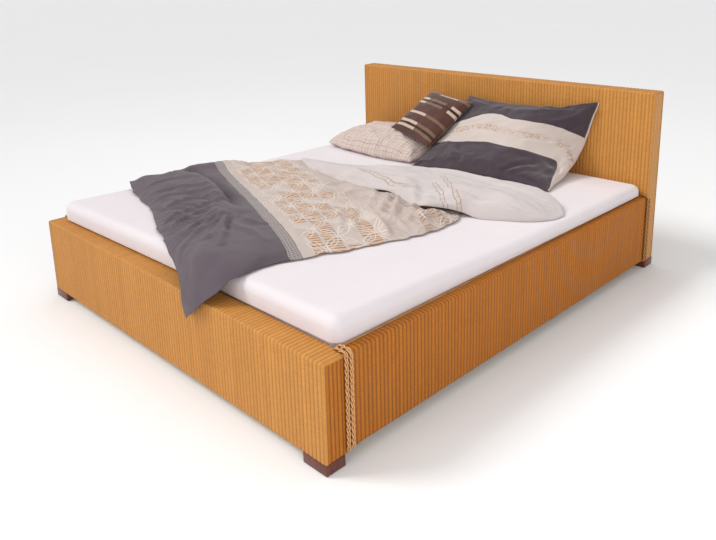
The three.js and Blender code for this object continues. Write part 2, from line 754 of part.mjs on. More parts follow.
function duvet() {
  const curveOf = (points) =>
    new THREE.SplineCurve(points.map(([x, y]) => new THREE.Vector2(x, y)));
  const foot = curveOf(duvetEdges.foot);
  const head = curveOf(duvetEdges.head);
  const left = curveOf(duvetEdges.left);
  const right = curveOf(duvetEdges.right);
  const path = drapePath();
  const pathLength = path.getLength();
  const pathStart = footFace + MATTRESS_END_CLEARANCE + DRAPE_START;
  const corners = [foot.getPoint(0), foot.getPoint(1), head.getPoint(0), head.getPoint(1)];

  // Full away from the seam, falling to nothing at it
  const edgeShare = (share) => Math.min(1, DUVET_EDGE_BAND * share * (1 - share));

  // The point between the four edges, at a share across and a share along
  const layOut = (s, t) => {
    const [nearLeft, nearRight, farLeft, farRight] = corners;
    const lie = (axis) => {
      const between = (1 - t) * foot.getPointAt(s)[axis] + t * head.getPointAt(s)[axis];
      const across = (1 - s) * left.getPointAt(t)[axis] + s * right.getPointAt(t)[axis];
      const near = (1 - s) * nearLeft[axis] + s * nearRight[axis];
      const far = (1 - s) * farLeft[axis] + s * farRight[axis];
      return between + across - ((1 - t) * near + t * far);
    };
    return [lie("x"), lie("y")];
  };

  const geometry = stuffedGeometry(DUVET_CELLS_ACROSS, DUVET_CELLS_ALONG, (a, b, side) => {
    const s = (easeToSeam(a) + a) / 4 + 0.5;
    const t = (easeToSeam(b) + b) / 4 + 0.5;
    const [x, along] = layOut(s, t);
    const nearSeam = edgeShare(s) * edgeShare(t);
    const turned =
      smoothStep(...TURNED_FROM_Y, along + TURNED_SLANT * x) * smoothStep(...TURNED_FROM_X, x);
    const fullness = DUVET_THICKNESS + DUVET_TURNED_THICKNESS * turned;
    const ridges = ridgeHeight(duvetFolds, x, along);
    const hanging = smoothStep(footFace, footFront, along);
    const tip = THREE.MathUtils.lerp(1, TURNED_TIP_SHARE, smoothStep(...TURNED_TIP_FROM_X, x));
    const kept = THREE.MathUtils.lerp(1, DUVET_HANGING_SHARE, hanging) * tip;
    const depth = (fullness * kept + ridges * tip) * Math.sqrt(nearSeam);
    const seamLift = DUVET_SEAM_LIFT * (1 - hanging) * tip;
    const lift = side > 0 ? seamLift + depth : seamLift * (1 - Math.sqrt(nearSeam));
    if (along >= pathStart) {
      return [x, along, beddingHeight(along) + lift];
    }
    const share = Math.min(1, (pathStart - along) / pathLength);
    const spot = path.getPointAt(share);
    const tangent = path.getTangentAt(share);
    return [x, spot.y + tangent.z * lift, spot.z - tangent.y * lift];
  });
  addPiece("duvet", geometry, finish.duvet);
}

endBoard("headboard", headFace, headBack, HEADBOARD_TOP, ["_front_panel", "_back_panel"]);
endBoard("footboard", footFront, footFace, FOOTBOARD_TOP, ["_front_panel", "_back_panel"]);
for (const [side, sign] of [["left", -1], ["right", 1]]) {
  sideRail(side, sign);
  cornerBraids(side, sign);
  feet(side, sign);
  cornerBracket("corner_bracket_head_" + side, sign, headFace, -1);
  cornerBracket("corner_bracket_foot_" + side, sign, footFace, 1);
}
centreSupport();
slats();
mattress();
duvet();
cushion(pillows());

export default bed;
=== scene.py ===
import math

import bpy
import numpy as np
from mathutils import Matrix, Vector


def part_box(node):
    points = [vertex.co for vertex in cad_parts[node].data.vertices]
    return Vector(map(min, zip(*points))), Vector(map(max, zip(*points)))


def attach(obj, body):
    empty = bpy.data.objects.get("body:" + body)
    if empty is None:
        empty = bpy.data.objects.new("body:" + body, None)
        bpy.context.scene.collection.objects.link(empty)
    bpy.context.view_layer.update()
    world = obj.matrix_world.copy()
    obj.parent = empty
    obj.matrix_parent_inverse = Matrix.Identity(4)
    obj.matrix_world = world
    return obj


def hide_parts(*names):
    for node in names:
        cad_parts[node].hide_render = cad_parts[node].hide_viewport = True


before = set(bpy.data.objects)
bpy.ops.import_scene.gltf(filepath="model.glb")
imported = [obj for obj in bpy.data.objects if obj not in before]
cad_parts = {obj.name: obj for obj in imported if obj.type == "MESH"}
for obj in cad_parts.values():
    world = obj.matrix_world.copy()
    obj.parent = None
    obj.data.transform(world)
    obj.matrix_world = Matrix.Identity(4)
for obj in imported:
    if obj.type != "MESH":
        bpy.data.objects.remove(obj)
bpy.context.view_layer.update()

# Sizes in metres. X runs across the bed, Y from the footboard to the headboard, Z up.
RIB_PITCH = 0.018
RIB_DEPTH = 0.0024
END_RIB_DEPTH = 0.0015
STRAND_PITCH = 0.0042
EDGE_RADIUS = 0.009
EDGE_STEPS = 5
END_INSET = 0.0022
HEM_TURN = 0.0035
HEM_RISE = 0.004
BOLT_RADIUS = 0.007
MATTRESS_HALF_WIDTH = 0.900
MATTRESS_HALF_LENGTH = 1.000
MATTRESS_CORNER = 0.036
MATTRESS_EDGE = 0.034
MATTRESS_LIFT = 0.032
LIFT_FULL_AT = 0.188
BULGE_REACH = 0.160
FOOT_BULGE_LEFT = 0.050
FOOT_BULGE_RIGHT = 0.013
RIGHT_BULGE_HEAD = 0.022
RIGHT_BULGE_FOOT = 0.007
SHEET_THICKNESS = 0.002
REST_GAP = 0.0005
PILLOW_GAP = 0.010
BAND_WIDTH = 0.046
THREAD_PITCH = 0.0011


# Colours and shading

# Each pair: the darker tone where the cloth's soft relief dips, which is painted shade, then the
# lighter one on its rises
DUVET_GREY = ("#544950", "#61565D")
DUVET_CREAM = ("#B5A39A", "#CCBEB5")


def paint(code):
    """A colour written as in print, as the linear values that a shader takes."""
    parts = [int(code[i:i + 2], 16) / 255 for i in (1, 3, 5)]
    return (*[c / 12.92 if c <= 0.04045 else ((c + 0.055) / 1.055) ** 2.4 for c in parts], 1.0)


class Tone:
    """One output of a material's nodes. Arithmetic on it adds the Math nodes."""

    def __init__(self, dye, socket):
        self.dye, self.socket = dye, socket

    def _math(self, operation, *values):
        made = self.dye.node("ShaderNodeMath", {"operation": operation}, dict(enumerate(values)))
        return Tone(self.dye, made.outputs[0])

    def __add__(self, other):
        return self._math("ADD", self, other)

    __radd__ = __add__

    def __sub__(self, other):
        return self._math("SUBTRACT", self, other)

    def __rsub__(self, other):
        return self._math("SUBTRACT", other, self)

    def __mul__(self, other):
        return self._math("MULTIPLY", self, other)

    __rmul__ = __mul__

    def __truediv__(self, other):
        return self._math("DIVIDE", self, other)

    def __pow__(self, other):
        return self._math("POWER", self, other)

    def floor(self):
        return self._math("FLOOR", self)

    def fract(self):
        return self._math("FRACT", self)

    def sine(self):
        return self._math("SINE", self)

    def absolute(self):
        return self._math("ABSOLUTE", self)

    def least(self, other):
        return self._math("MINIMUM", self, other)

    def most(self, other):
        return self._math("MAXIMUM", self, other)

    def over(self, other):
        return self._math("GREATER_THAN", self, other)

    def under(self, other):
        return self._math("LESS_THAN", self, other)

    def between(self, low, high):
        return self.over(low) * self.under(high)

    def step(self, low, high):
        """0 below low, 1 above high, and smooth between them."""
        ramp = self.dye.node(
            "ShaderNodeMapRange",
            {"interpolation_type": "SMOOTHSTEP"},
            {"Value": self, "From Min": low, "From Max": high},
        )
        return Tone(self.dye, ramp.outputs[0])

    def peak(self):
        """1 in the middle of each whole step and 0 at its ends."""
        return 1 - (self.fract() * 2 - 1).absolute()


class Dye:
    """One material, made from nodes."""

    def __init__(self, name):
        self.material = bpy.data.materials.new(name)
        self.material.use_nodes = True
        self.tree = self.material.node_tree
        self.tree.nodes.clear()

    def node(self, kind, settings=None, sockets=None):
        made = self.tree.nodes.new(kind)
        for key, value in (settings or {}).items():
            setattr(made, key, value)
        for key, value in (sockets or {}).items():
            if isinstance(value, Tone):
                self.tree.links.new(value.socket, made.inputs[key])
            else:
                made.inputs[key].default_value = paint(value) if isinstance(value, str) else value
        return made

    def place(self):
        """A point of the piece, in the bed's frame."""
        return Tone(self, self.node("ShaderNodeTexCoord").outputs["Object"])

    def cloth_place(self):
        """A point on the laid-out cloth: metres across it and metres along it."""
        return Tone(self, self.node("ShaderNodeUVMap", {"uv_map": "cloth"}).outputs[0])

    def parts(self, vector):
        split = self.node("ShaderNodeSeparateXYZ", None, {0: vector})
        return [Tone(self, socket) for socket in split.outputs]

    def vector(self, x, y, z=0.0):
        made = self.node("ShaderNodeCombineXYZ", None, {0: x, 1: y, 2: z})
        return Tone(self, made.outputs[0])

    def stretched(self, vector, x, y, z):
        made = self.node(
            "ShaderNodeVectorMath", {"operation": "MULTIPLY"}, {0: vector, 1: (x, y, z)}
        )
        return Tone(self, made.outputs[0])

    def mottle(self, vector, scale, detail=3.0, roughness=0.55, distortion=0.0):
        made = self.node(
            "ShaderNodeTexNoise",
            None,
            {
                "Vector": vector,
                "Scale": scale,
                "Detail": detail,
                "Roughness": roughness,
                "Distortion": distortion,
            },
        )
        return Tone(self, made.outputs[0])

    def chance(self, vector):
        """A number from 0 to 1, the same one wherever the vector is the same."""
        made = self.node("ShaderNodeTexWhiteNoise", {"noise_dimensions": "3D"}, {0: vector})
        return Tone(self, made.outputs[0])

    def blend(self, share, first, second):
        made = self.node(
            "ShaderNodeMix", {"data_type": "RGBA"}, {0: share, 6: first, 7: second}
        )
        return Tone(self, made.outputs[2])

    def shaded(self, colour, amount):
        """A colour made lighter or darker by an amount around 1."""
        grey = self.vector(amount, amount, amount)
        made = self.node(
            "ShaderNodeMix",
            {"data_type": "RGBA", "blend_type": "MULTIPLY"},
            {0: 1.0, 6: colour, 7: grey},
        )
        return Tone(self, made.outputs[2])

    def finish(self, colour, roughness, height=None, relief=0.001, **uniform):
        """Joins the shader. relief is how far the bump's height of 1 stands up, in metres."""
        sockets = {"Base Color": colour, "Roughness": roughness}
        if height is not None:
            bump = self.node(
                "ShaderNodeBump", None, {"Height": height, "Strength": 1.0, "Distance": relief}
            )
            sockets["Normal"] = Tone(self, bump.outputs[0])
        shader = self.node("ShaderNodeBsdfPrincipled", None, sockets)
        for name, value in uniform.items():
            shader.inputs[name.replace("_", " ")].default_value = value
        surface = self.node("ShaderNodeOutputMaterial")
        self.tree.links.new(shader.outputs[0], surface.inputs["Surface"])
        return self.material


def on_cloth(name):
    """A new material, with the two places on the laid-out cloth."""
    dye = Dye(name)
    across, along, _ = dye.parts(dye.cloth_place())
    return dye, across, along


def wicker(name, crest, groove):
    """Paper cord woven over stakes: ribs with a fine strand crossing them. The groove colour darkens
    the hollows between the ribs and between the strand's rows: painted shade.
    """
    dye, across, along = on_cloth(name)
    number = (across / RIB_PITCH).floor()
    wander = (along * (math.pi / STRAND_PITCH)).sine() * 0.0009
    wander = wander + 0.0016 * (dye.mottle(dye.vector(across * 40, along * 9), 1.0, 2.0) - 0.5)
    ridge = ((across + wander) / RIB_PITCH).peak()
    row = along / STRAND_PITCH + number * 0.5
    strand = row.peak()
    per_rib = dye.chance(dye.vector(number, 3.0))
    per_strand = dye.chance(dye.vector(number, row.floor(), 7.0))
    wide = dye.mottle(dye.place(), 4.0, 4.0)
    worn = dye.mottle(dye.vector(across * 50, along * 6), 1.0, 3.0)
    height = (ridge * 1.7).least(1.0) ** 0.8
    # Painted shade: the groove colour fills the hollows between the ribs, and the gaps between the
    # strand's rows are darker too
    colour = dye.blend(height * (0.75 + 0.25 * strand), groove, crest)
    light = 0.76 + 0.10 * per_rib + 0.12 * per_strand + 0.14 * wide + 0.16 * worn
    relief = strand * (0.4 + 0.6 * ridge) + 0.25 * per_strand
    return dye.finish(
        dye.shaded(colour, light), 0.62 - 0.12 * strand, relief, 0.0007, Specular_IOR_Level=0.35
    )


def plaited(name, light_tone, dark_tone):
    """Twisted paper cord, darker down both of its sides and between its twists: painted shade.
    Across runs round the cord in radians.
    """
    dye, across, along = on_cloth(name)
    # Painted shade: the dark tone down the cord's sides, where it turns away from the light, and a
    # darker band between the twists
    crown = across.sine().most(0.0) ** 1.5
    twist = (along / 0.0045 + across * 0.3).peak()
    wide = dye.mottle(dye.place(), 30.0, 3.0)
    colour = dye.blend(crown, dark_tone, light_tone)
    colour = dye.shaded(colour, 0.80 + 0.14 * twist + 0.22 * wide)
    return dye.finish(colour, 0.6, twist, 0.0006, Specular_IOR_Level=0.35)


GRAIN_STRETCH = {"x": (0.06, 1.0, 1.0), "y": (1.0, 0.06, 1.0), "z": (1.0, 1.0, 0.06)}


def timber(name, light_tone, dark_tone, along, roughness=0.55, coat=0.0):
    """Wood with its grain along one axis."""
    dye = Dye(name)
    place = dye.stretched(dye.place(), *GRAIN_STRETCH[along])
    wave = dye.mottle(place, 22.0, 4.0, 0.6, 1.2)
    rings = (wave * 9.0).peak()
    pores = dye.mottle(place, 420.0, 2.0)
    colour = dye.blend(rings * 0.55 + pores * 0.45, dark_tone, light_tone)
    light = 0.9 + 0.2 * dye.mottle(dye.place(), 3.0)
    return dye.finish(
        dye.shaded(colour, light), roughness + 0.15 * pores, pores, 0.0003, Coat_Weight=coat
    )


def zinc(name):
    """Zinc-plated steel."""
    dye = Dye(name)
    cloud = dye.mottle(dye.place(), 60.0, 4.0)
    brushed = dye.mottle(dye.stretched(dye.place(), 1.0, 1.0, 0.03), 700.0, 2.0)
    colour = dye.blend(cloud, "#8D9296", "#B4B9BD")
    return dye.finish(colour, 0.32 + 0.16 * brushed, brushed, 0.00008, Metallic=1.0)


def thread_relief(across, along):
    """The height of a plain weave's threads, from 0 to 1."""
    return (across / THREAD_PITCH).peak() * 0.5 + (along / THREAD_PITCH).peak() * 0.5


def cotton(dye, colour, height, sheen=0.25, roughness=0.88):
    """Joins the shader of a dull cloth with a soft sheen."""
    return dye.finish(colour, roughness, height, 0.0016, Sheen_Weight=sheen, Sheen_Roughness=0.5,
                      Specular_IOR_Level=0.2)


def plain_cloth(name, tone, shadow_tone, crease=0.35):
    """Cloth of one colour, a little uneven."""
    dye, across, along = on_cloth(name)
    threads = thread_relief(across, along)
    soft = dye.mottle(dye.cloth_place(), 7.0, 5.0, 0.5, 0.6)
    colour = dye.blend(soft, shadow_tone, tone)
    height = threads * 0.12 + soft * crease
    return cotton(dye, colour, height)


def dashes(dye, across, along, size, salt):
    """Blocks of short upright strokes, staggered row by row, with some blocks left out."""
    width, length, stroke = size
    row = (along / length).floor()
    shift = across / width + row * 0.5
    kept = dye.chance(dye.vector(shift.floor(), row, salt)).over(0.14)
    inside = shift.fract().between(0.04, 0.96) * (along / length).fract().between(0.09, 0.93)
    return kept * inside * (across / stroke).fract().under(0.46)


def interlaced_hoops(across, along, width):
    """Thin hoops that cross each other, in staggered rows."""
    made = 0.0
    for shift in (0.0, 0.5):
        x = ((across / width + shift).fract() - 0.5) * width
        y = ((along / width + shift).fract() - 0.5) * width
        reach = (x * x + y * y) ** 0.5
        made = (reach - width * 0.47).absolute().under(0.0020) + made
        made = (reach - width * 0.36).absolute().under(0.0012) + made
    return made.least(1.0)


def duvet_cloth(name):
    """A grey end panel, a stitched band, and a cream field with blocks of tan strokes."""
    dye, across, along = on_cloth(name)
    wobble = dye.mottle(dye.cloth_place(), 11.0, 2.0) - 0.5
    bent_across = across + 0.010 * wobble
    bent_along = along + 0.012 * (dye.mottle(dye.cloth_place(), 7.0, 2.0) - 0.5)
    soft = dye.mottle(dye.cloth_place(), 6.0, 4.0, 0.5, 0.8)
    threads = thread_relief(across, along)

    # Painted shade: the noise that raises the soft relief also darkens the cloth where it dips
    grey = dye.blend(soft, *DUVET_GREY)
    cream = dye.blend(soft, *DUVET_CREAM)

    row = along / 0.012
    dots = (across / 0.0105 + row.floor() * 0.5).fract().under(0.42)
    dots = dots * row.fract().between(0.3, 0.72)
    band = dye.blend(dots, "#9A908D", "#5E5552")

    tan_strokes = dashes(dye, bent_across, bent_along, (0.104, 0.078, 0.0158), 1.0)
    tan_place = bent_along.between(BAND_WIDTH + 0.055, BAND_WIDTH + 0.355)
    late_strokes = dashes(dye, bent_across, bent_along + 0.02, (0.076, 0.054, 0.0130), 5.0)
    late_place = bent_along.over(BAND_WIDTH + 0.55)
    field = dye.blend(late_place * 0.40, cream, "#A88C79")
    field = dye.blend(tan_strokes * tan_place, field, "#AB7843")
    field = dye.blend(late_strokes * late_place * 0.60, field, "#8D6444")
    figured = bent_along.between(BAND_WIDTH + 0.040, BAND_WIDTH + 0.375).most(late_place)
    hoops = interlaced_hoops(bent_across, bent_along, 0.150)
    field = dye.blend(hoops * figured * 0.75, field, "#DFD4CB")
    faint = interlaced_hoops(bent_across + 0.03, bent_along, 0.210)
    faint = faint * (1 - figured) * bent_along.over(BAND_WIDTH + 0.3)
    field = dye.blend(faint * 0.35, field, "#9B877B")

    colour = dye.blend(along.over(BAND_WIDTH), band, field)
    colour = dye.blend(along.over(0.0), grey, colour)
    seam = (along.absolute() / 0.003).least(1.0)
    seam = seam * ((along - BAND_WIDTH).absolute() / 0.003).least(1.0)
    height = threads * 0.1 + soft * 0.3 + seam * 0.5 + dots * along.between(0, BAND_WIDTH) * 0.3
    return cotton(dye, colour, height, sheen=0.2)


# The stitched ladders of the turned part: a place across, the ladder's level there and its slope,
# and where it begins and ends across
LADDERS = (
    (0.507, 0.660, 0.30, 0.42, 0.86),
    (0.507, 0.600, 0.24, 0.60, 1.02),
    (0.906, 0.930, -0.34, 0.86, 1.26),
    (0.906, 0.868, -0.34, 0.95, 1.26),
)


def lining_cloth(name):
    """The duvet cover's pale underside, with pairs of thin stitched lines."""
    dye, across, along = on_cloth(name)
    soft = dye.mottle(dye.cloth_place(), 6.0, 4.0, 0.5, 0.8)
    lines = 0.0
    for start, level, slope, low, high in LADDERS:
        middle = along - (level + slope * (across - start)) + 0.003 * (across * 60.0).sine()
        length = across.between(low, high)
        for side in (-0.0095, 0.0095):
            lines = (middle - side).absolute().under(0.0017) * length + lines
        rung = middle.absolute().under(0.0095) * (across / 0.030).fract().under(0.09) * length
        lines = rung + lines
    # Painted shade: the noise of the soft relief darkens the cream where it dips
    cream = dye.blend(soft, "#BFB3B0", "#D2C9C7")
    colour = dye.blend(lines.least(1.0) * 0.8, cream, "#A27C54")
    height = thread_relief(across, along) * 0.1 + soft * 0.3 + lines.least(1.0) * 0.25
    return cotton(dye, colour, height)


def checked_cloth(name):
    """Cream cotton with fine uneven lines both ways."""
    dye, across, along = on_cloth(name)
    soft = dye.mottle(dye.cloth_place(), 7.0, 4.0, 0.5, 0.8)
    bend = 0.004 * (dye.mottle(dye.cloth_place(), 25.0, 2.0) - 0.5)
    lines = 0.0
    for value, pitch, salt in ((across, 0.026, 1.0), (along, 0.021, 2.0)):
        cell = (value + bend) / pitch
        place = 0.2 + 0.6 * dye.chance(dye.vector(cell.floor(), salt))
        weight = dye.chance(dye.vector(cell.floor(), salt + 5.0))
        lines = lines + (cell.fract() - place).absolute().under(0.06) * (0.35 + 0.60 * weight)
    # Painted shade: the noise of the soft relief darkens the cream where it dips
    cream = dye.blend(soft, "#C3B0A8", "#D6C8C0")
    tone = dye.blend(dye.mottle(dye.cloth_place(), 18.0), "#9A6F62", "#A07C56")
    colour = dye.blend(lines.least(1.0), cream, tone)
    height = thread_relief(across, along) * 0.1 + soft * 0.35
    return cotton(dye, colour, height)


def banded_cloth(name):
    """Dark grey bands above and below a cream band, and a cream strip along one side."""
    dye, across, along = on_cloth(name)
    soft = dye.mottle(dye.cloth_place(), 7.0, 4.0, 0.5, 0.8)
    # Painted shade: the noise of the soft relief darkens the grey and the cream where it dips
    grey = dye.blend(soft, "#3E3339", "#4B4046")
    cream = dye.blend(soft, "#BDAEA6", "#D0C4BC")
    speckle = dye.mottle(dye.stretched(dye.cloth_place(), 1.0, 2.6, 1.0), 60.0, 3.0).over(0.52)
    upper = 0.070 + 0.110 * across.step(-0.36, -0.12) - 0.028 * across.step(-0.08, 0.02)
    upper = upper - 0.040 * across.step(0.18, 0.38)
    lower = 0.020 * across.step(-0.26, -0.12) - 0.022 * across.step(0.02, 0.25) - 0.100
    lower = lower - 0.250 * across.step(0.315, 0.440)
    middle = along - (upper + lower) * 0.5 - 0.012
    figured = (1 - middle.absolute() / 0.036).most(0.0).step(0.0, 0.5)
    figured = figured * dye.mottle(dye.cloth_place(), 9.0).step(0.35, 0.55)
    band = dye.blend(speckle * figured * 0.7, cream, "#A0714F")
    ragged = 0.004 * (soft - 0.5)
    in_band = (along - upper).under(ragged) * (along - lower).over(ragged)
    side = across.over(0.395)
    colour = dye.blend(in_band.most(side), grey, band)
    height = thread_relief(across, along) * 0.1 + soft * 0.35
    return cotton(dye, colour, height, sheen=0.3, roughness=0.86)


def barred_cloth(name):
    """Brown pile with short cream bars in rows."""
    dye, across, along = on_cloth(name)
    group = (along + 0.183) / 0.190
    share = group.fract()
    rows = ((0.17, 0.265), (0.355, 0.45), (0.715, 0.81))
    bars, taupe = 0.0, 0.0
    for number, (low, high) in enumerate(rows):
        in_row = share.between(low, high)
        start = dye.chance(dye.vector(group.floor(), number // 2 + 1.0))
        run = (across / 0.36 + start).fract()
        bars = in_row * run.under(0.44) + bars
        taupe = in_row * run.between(0.46, 0.88) + taupe
    pile = dye.mottle(dye.cloth_place(), 500.0, 2.0)
    nap = dye.mottle(dye.cloth_place(), 16.0, 3.0)
    brown = dye.blend(nap, "#472B25", "#624239")
    seams = (share - 0.31).absolute().under(0.022)
    brown = dye.blend(seams * 0.7, brown, "#24120F")
    stitches = (across / 0.009).fract().under(0.2)
    colour = dye.blend(taupe * 0.8, brown, "#7D6653")
    colour = dye.blend(bars * (0.92 - 0.25 * stitches), colour, "#CDB6A3")
    height = pile * 0.5 + bars * 0.3
    return dye.finish(colour, 0.92, height, 0.0009, Sheen_Weight=0.4, Sheen_Roughness=0.4,
                      Specular_IOR_Level=0.2)


# Meshes

FOOT_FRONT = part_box("footboard_woven_cover")[0].y
FOOT_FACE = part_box("footboard_woven_cover")[1].y
BOARD_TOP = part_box("footboard_woven_cover")[1].z
HEAD_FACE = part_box("headboard_woven_cover")[0].y


def piece(name, points, faces, look, body, cloth=None):
    """A smooth mesh that moves with a body. cloth holds the place on the cloth of each point."""
    mesh = bpy.data.meshes.new(name)
    faces = faces if isinstance(faces, list) else faces.tolist()
    mesh.from_pydata(np.asarray(points, float), [], faces)
    if cloth is not None:
        corners = np.empty(len(mesh.loops), np.int32)
        mesh.loops.foreach_get("vertex_index", corners)
        layer = mesh.uv_layers.new(name="cloth")
        layer.data.foreach_set("uv", np.asarray(cloth, np.float32)[corners].ravel())
    mesh.polygons.foreach_set("use_smooth", np.full(len(mesh.polygons), True))
    mesh.materials.append(look)
    made = bpy.data.objects.new(name, mesh)
    bpy.context.scene.collection.objects.link(made)
    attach(made, body)
    return made


def show_instead(node):
    """Shows a piece in the place of its plain solid."""
    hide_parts(node)


def grid_faces(rows, columns, first=0, closed=False):
    """Quads of a grid of points stored row by row. closed joins the last column to the first."""
    i = np.arange(rows - 1)[:, None]
    j = np.arange(columns if closed else columns - 1)[None, :]
    a = i * columns + j
    b = i * columns + (j + 1) % columns
    return (first + np.stack([a, b, b + columns, a + columns], -1)).reshape(-1, 4)


class Patches:
    """Grids of points that make one mesh of the frame together."""

    def __init__(self):
        self.points, self.faces, self.cloth, self.count = [], [], [], 0

    def add(self, grid, across, along, flipped):
        """across gives the place on the cloth of each column, and along that of each row."""
        quads = grid_faces(*grid.shape[:2], first=self.count)
        self.faces.append(quads[:, ::-1] if flipped else quads)
        self.points.append(grid.reshape(-1, 3))
        places = np.broadcast_arrays(across[None, :], along[:, None])
        self.cloth.append(np.stack(places, -1).reshape(-1, 2))
        self.count += grid.shape[0] * grid.shape[1]

    def show(self, name, node, look):
        """Makes the mesh and shows it in the place of its plain solid."""
        made = piece(name, np.vstack(self.points), np.vstack(self.faces), look, "bed_frame",
                     np.vstack(self.cloth))
        show_instead(node)


def run_along(line):
    """How far along a line of points each of them lies."""
    return np.concatenate([[0], np.cumsum(np.linalg.norm(np.diff(line, axis=0), axis=1))])


def quarter(steps=EDGE_STEPS):
    return np.linspace(0, math.pi / 2, steps + 1)


# Where a rib is sampled, as shares of its width, closest together beside the groove
RIB_SAMPLES = (0.0, 0.04, 0.14, 0.3, 0.5, 0.7, 0.86, 0.96)


def rib_stations(length):
    """Distances across a run of whole ribs, their places on the cloth, and their heights."""
    count = max(1, round(length / RIB_PITCH))
    share = np.append(np.add.outer(np.arange(count), RIB_SAMPLES).ravel(), count)
    fraction = share % 1.0
    height = np.sqrt(np.clip(1 - (2 * fraction - 1) ** 2, 0, 1))
    return share / count * length, share * RIB_PITCH, height


def ribbed(stations, normals, heights):
    """Points pressed in along their normals between the ribs' crests."""
    return stations - normals * (RIB_DEPTH * (1 - heights))[..., None]


def face_section(face, outward, bottom, top):
    """A cover's section up one face, from its hem to its top edge: each point and its normal."""
    section = [(face - outward * HEM_TURN, bottom, 0, -1), (face, bottom, 0.7 * outward, -0.7)]
    section.append((face, bottom + HEM_RISE, outward, 0))
    section += [(face, z, outward, 0) for z in np.linspace(bottom, top - EDGE_RADIUS, 4)[1:-1]]
    for t in quarter():
        c, s = math.cos(t), math.sin(t)
        at = face - outward * EDGE_RADIUS * (1 - c), top - EDGE_RADIUS * (1 - s)
        section.append((*at, outward * c, s))
    return section


def end_board(name, look, end_look):
    """The woven cover of an end board: ribs up the front, over the top and down the back, and
    two end panels whose ribs go round the corners."""
    node = name + "_woven_cover"
    low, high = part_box(node)
    near, far, bottom, top = low.y, high.y, low.z, high.z
    half = high.x - EDGE_RADIUS
    front = np.array(face_section(near, -1, bottom, top))
    back = (near + far, 0, 0, 0) + front[::-1] * (-1, 1, -1, 1)
    path = np.vstack([front, back])
    run = run_along(path[:, :2])

    across, cloth_across, height = rib_stations(2 * half)
    wrap = np.zeros((len(path), len(across), 3))
    wrap[..., 0] = across - half
    wrap[..., 1:] = path[:, None, :2]
    normals = np.zeros_like(wrap)
    normals[..., 1:] = path[:, None, 2:]
    cover = Patches()
    cover.add(ribbed(wrap, normals, height), cloth_across, run, flipped=True)

    # The corner ribs run up the front corner, along the end's top edge and down the back corner
    spread = quarter(6)
    inner = path[:, :2] - path[:, 2:] * EDGE_RADIUS / np.linalg.norm(path[:, 2:], axis=1)[:, None]
    inner[:, 1] = np.where(path[:, 3] < 0, path[:, 1], inner[:, 1])
    inner[:, 0] = np.clip(inner[:, 0], near + EDGE_RADIUS, far - EDGE_RADIUS)
    reach = path[:, :2] - inner
    onto = np.append(spread / (math.pi / 2), 1.2) * RIB_PITCH
    for sign in (-1, 1):
        rib = np.zeros((len(path), len(onto), 3))
        rib[:, :-1, 0] = sign * (half + EDGE_RADIUS * np.sin(spread))
        rib[:, :-1, 1:] = inner[:, None] + np.cos(spread)[:, None] * reach[:, None]
        rib[:, -1] = rib[:, -2] - (sign * 2 * END_INSET, 0, 0)
        cover.add(rib, onto + 9 * RIB_PITCH * sign, run, flipped=sign > 0)
    cover.show(node + "_weave", node, look)

    # The end panels between the corner ribs
    span, cloth_span, height = rib_stations(far - near - 2 * EDGE_RADIUS)
    levels = np.linspace(bottom, top - EDGE_RADIUS, 4)
    ends = Patches()
    for sign in (-1, 1):
        panel = np.zeros((len(levels), len(span), 3))
        panel[..., 0] = sign * (half + EDGE_RADIUS - END_INSET - END_RIB_DEPTH * (1 - height))
        panel[..., 1] = near + EDGE_RADIUS + span
        panel[..., 2] = levels[:, None]
        ends.add(panel, cloth_span + (40 + 20 * sign) * RIB_PITCH, levels, flipped=sign < 0)
    ends.show(name + "_end_panels", node, end_look)


def side_rail(side, sign, look):
    """The woven cover of a side rail: ribs up the outer face and over the top to the groove."""
    node = "side_rail_cover_" + side
    low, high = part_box(node)
    top = high.z
    inner, outer = sorted((abs(low.x), abs(high.x)))
    path = face_section(outer, 1, low.z, top)
    path += [(inner + 0.004, top, 0, 1), (inner + 0.001, top - 0.001, -0.7, 0.7)]
    path += [(inner, top - 0.004, -1, 0), (inner, top - 0.010, 0, 0)]
    path = np.array(path)
    across, cloth_across, height = rib_stations(high.y - low.y)
    points = np.zeros((len(path), len(across), 3))
    points[..., 0] = sign * path[:, None, 0]
    points[..., 1] = low.y + across
    points[..., 2] = path[:, None, 1]
    normals = np.zeros_like(points)
    normals[..., 0] = sign * path[:, None, 2]
    normals[..., 2] = path[:, None, 3]
    weave_shift = 20.0 * (sign + 2)
    cover = Patches()
    cover.add(ribbed(points, normals, height), cloth_across + weave_shift,
              run_along(path[:, :2]), flipped=sign < 0)
    cover.show(node + "_weave", node, look)


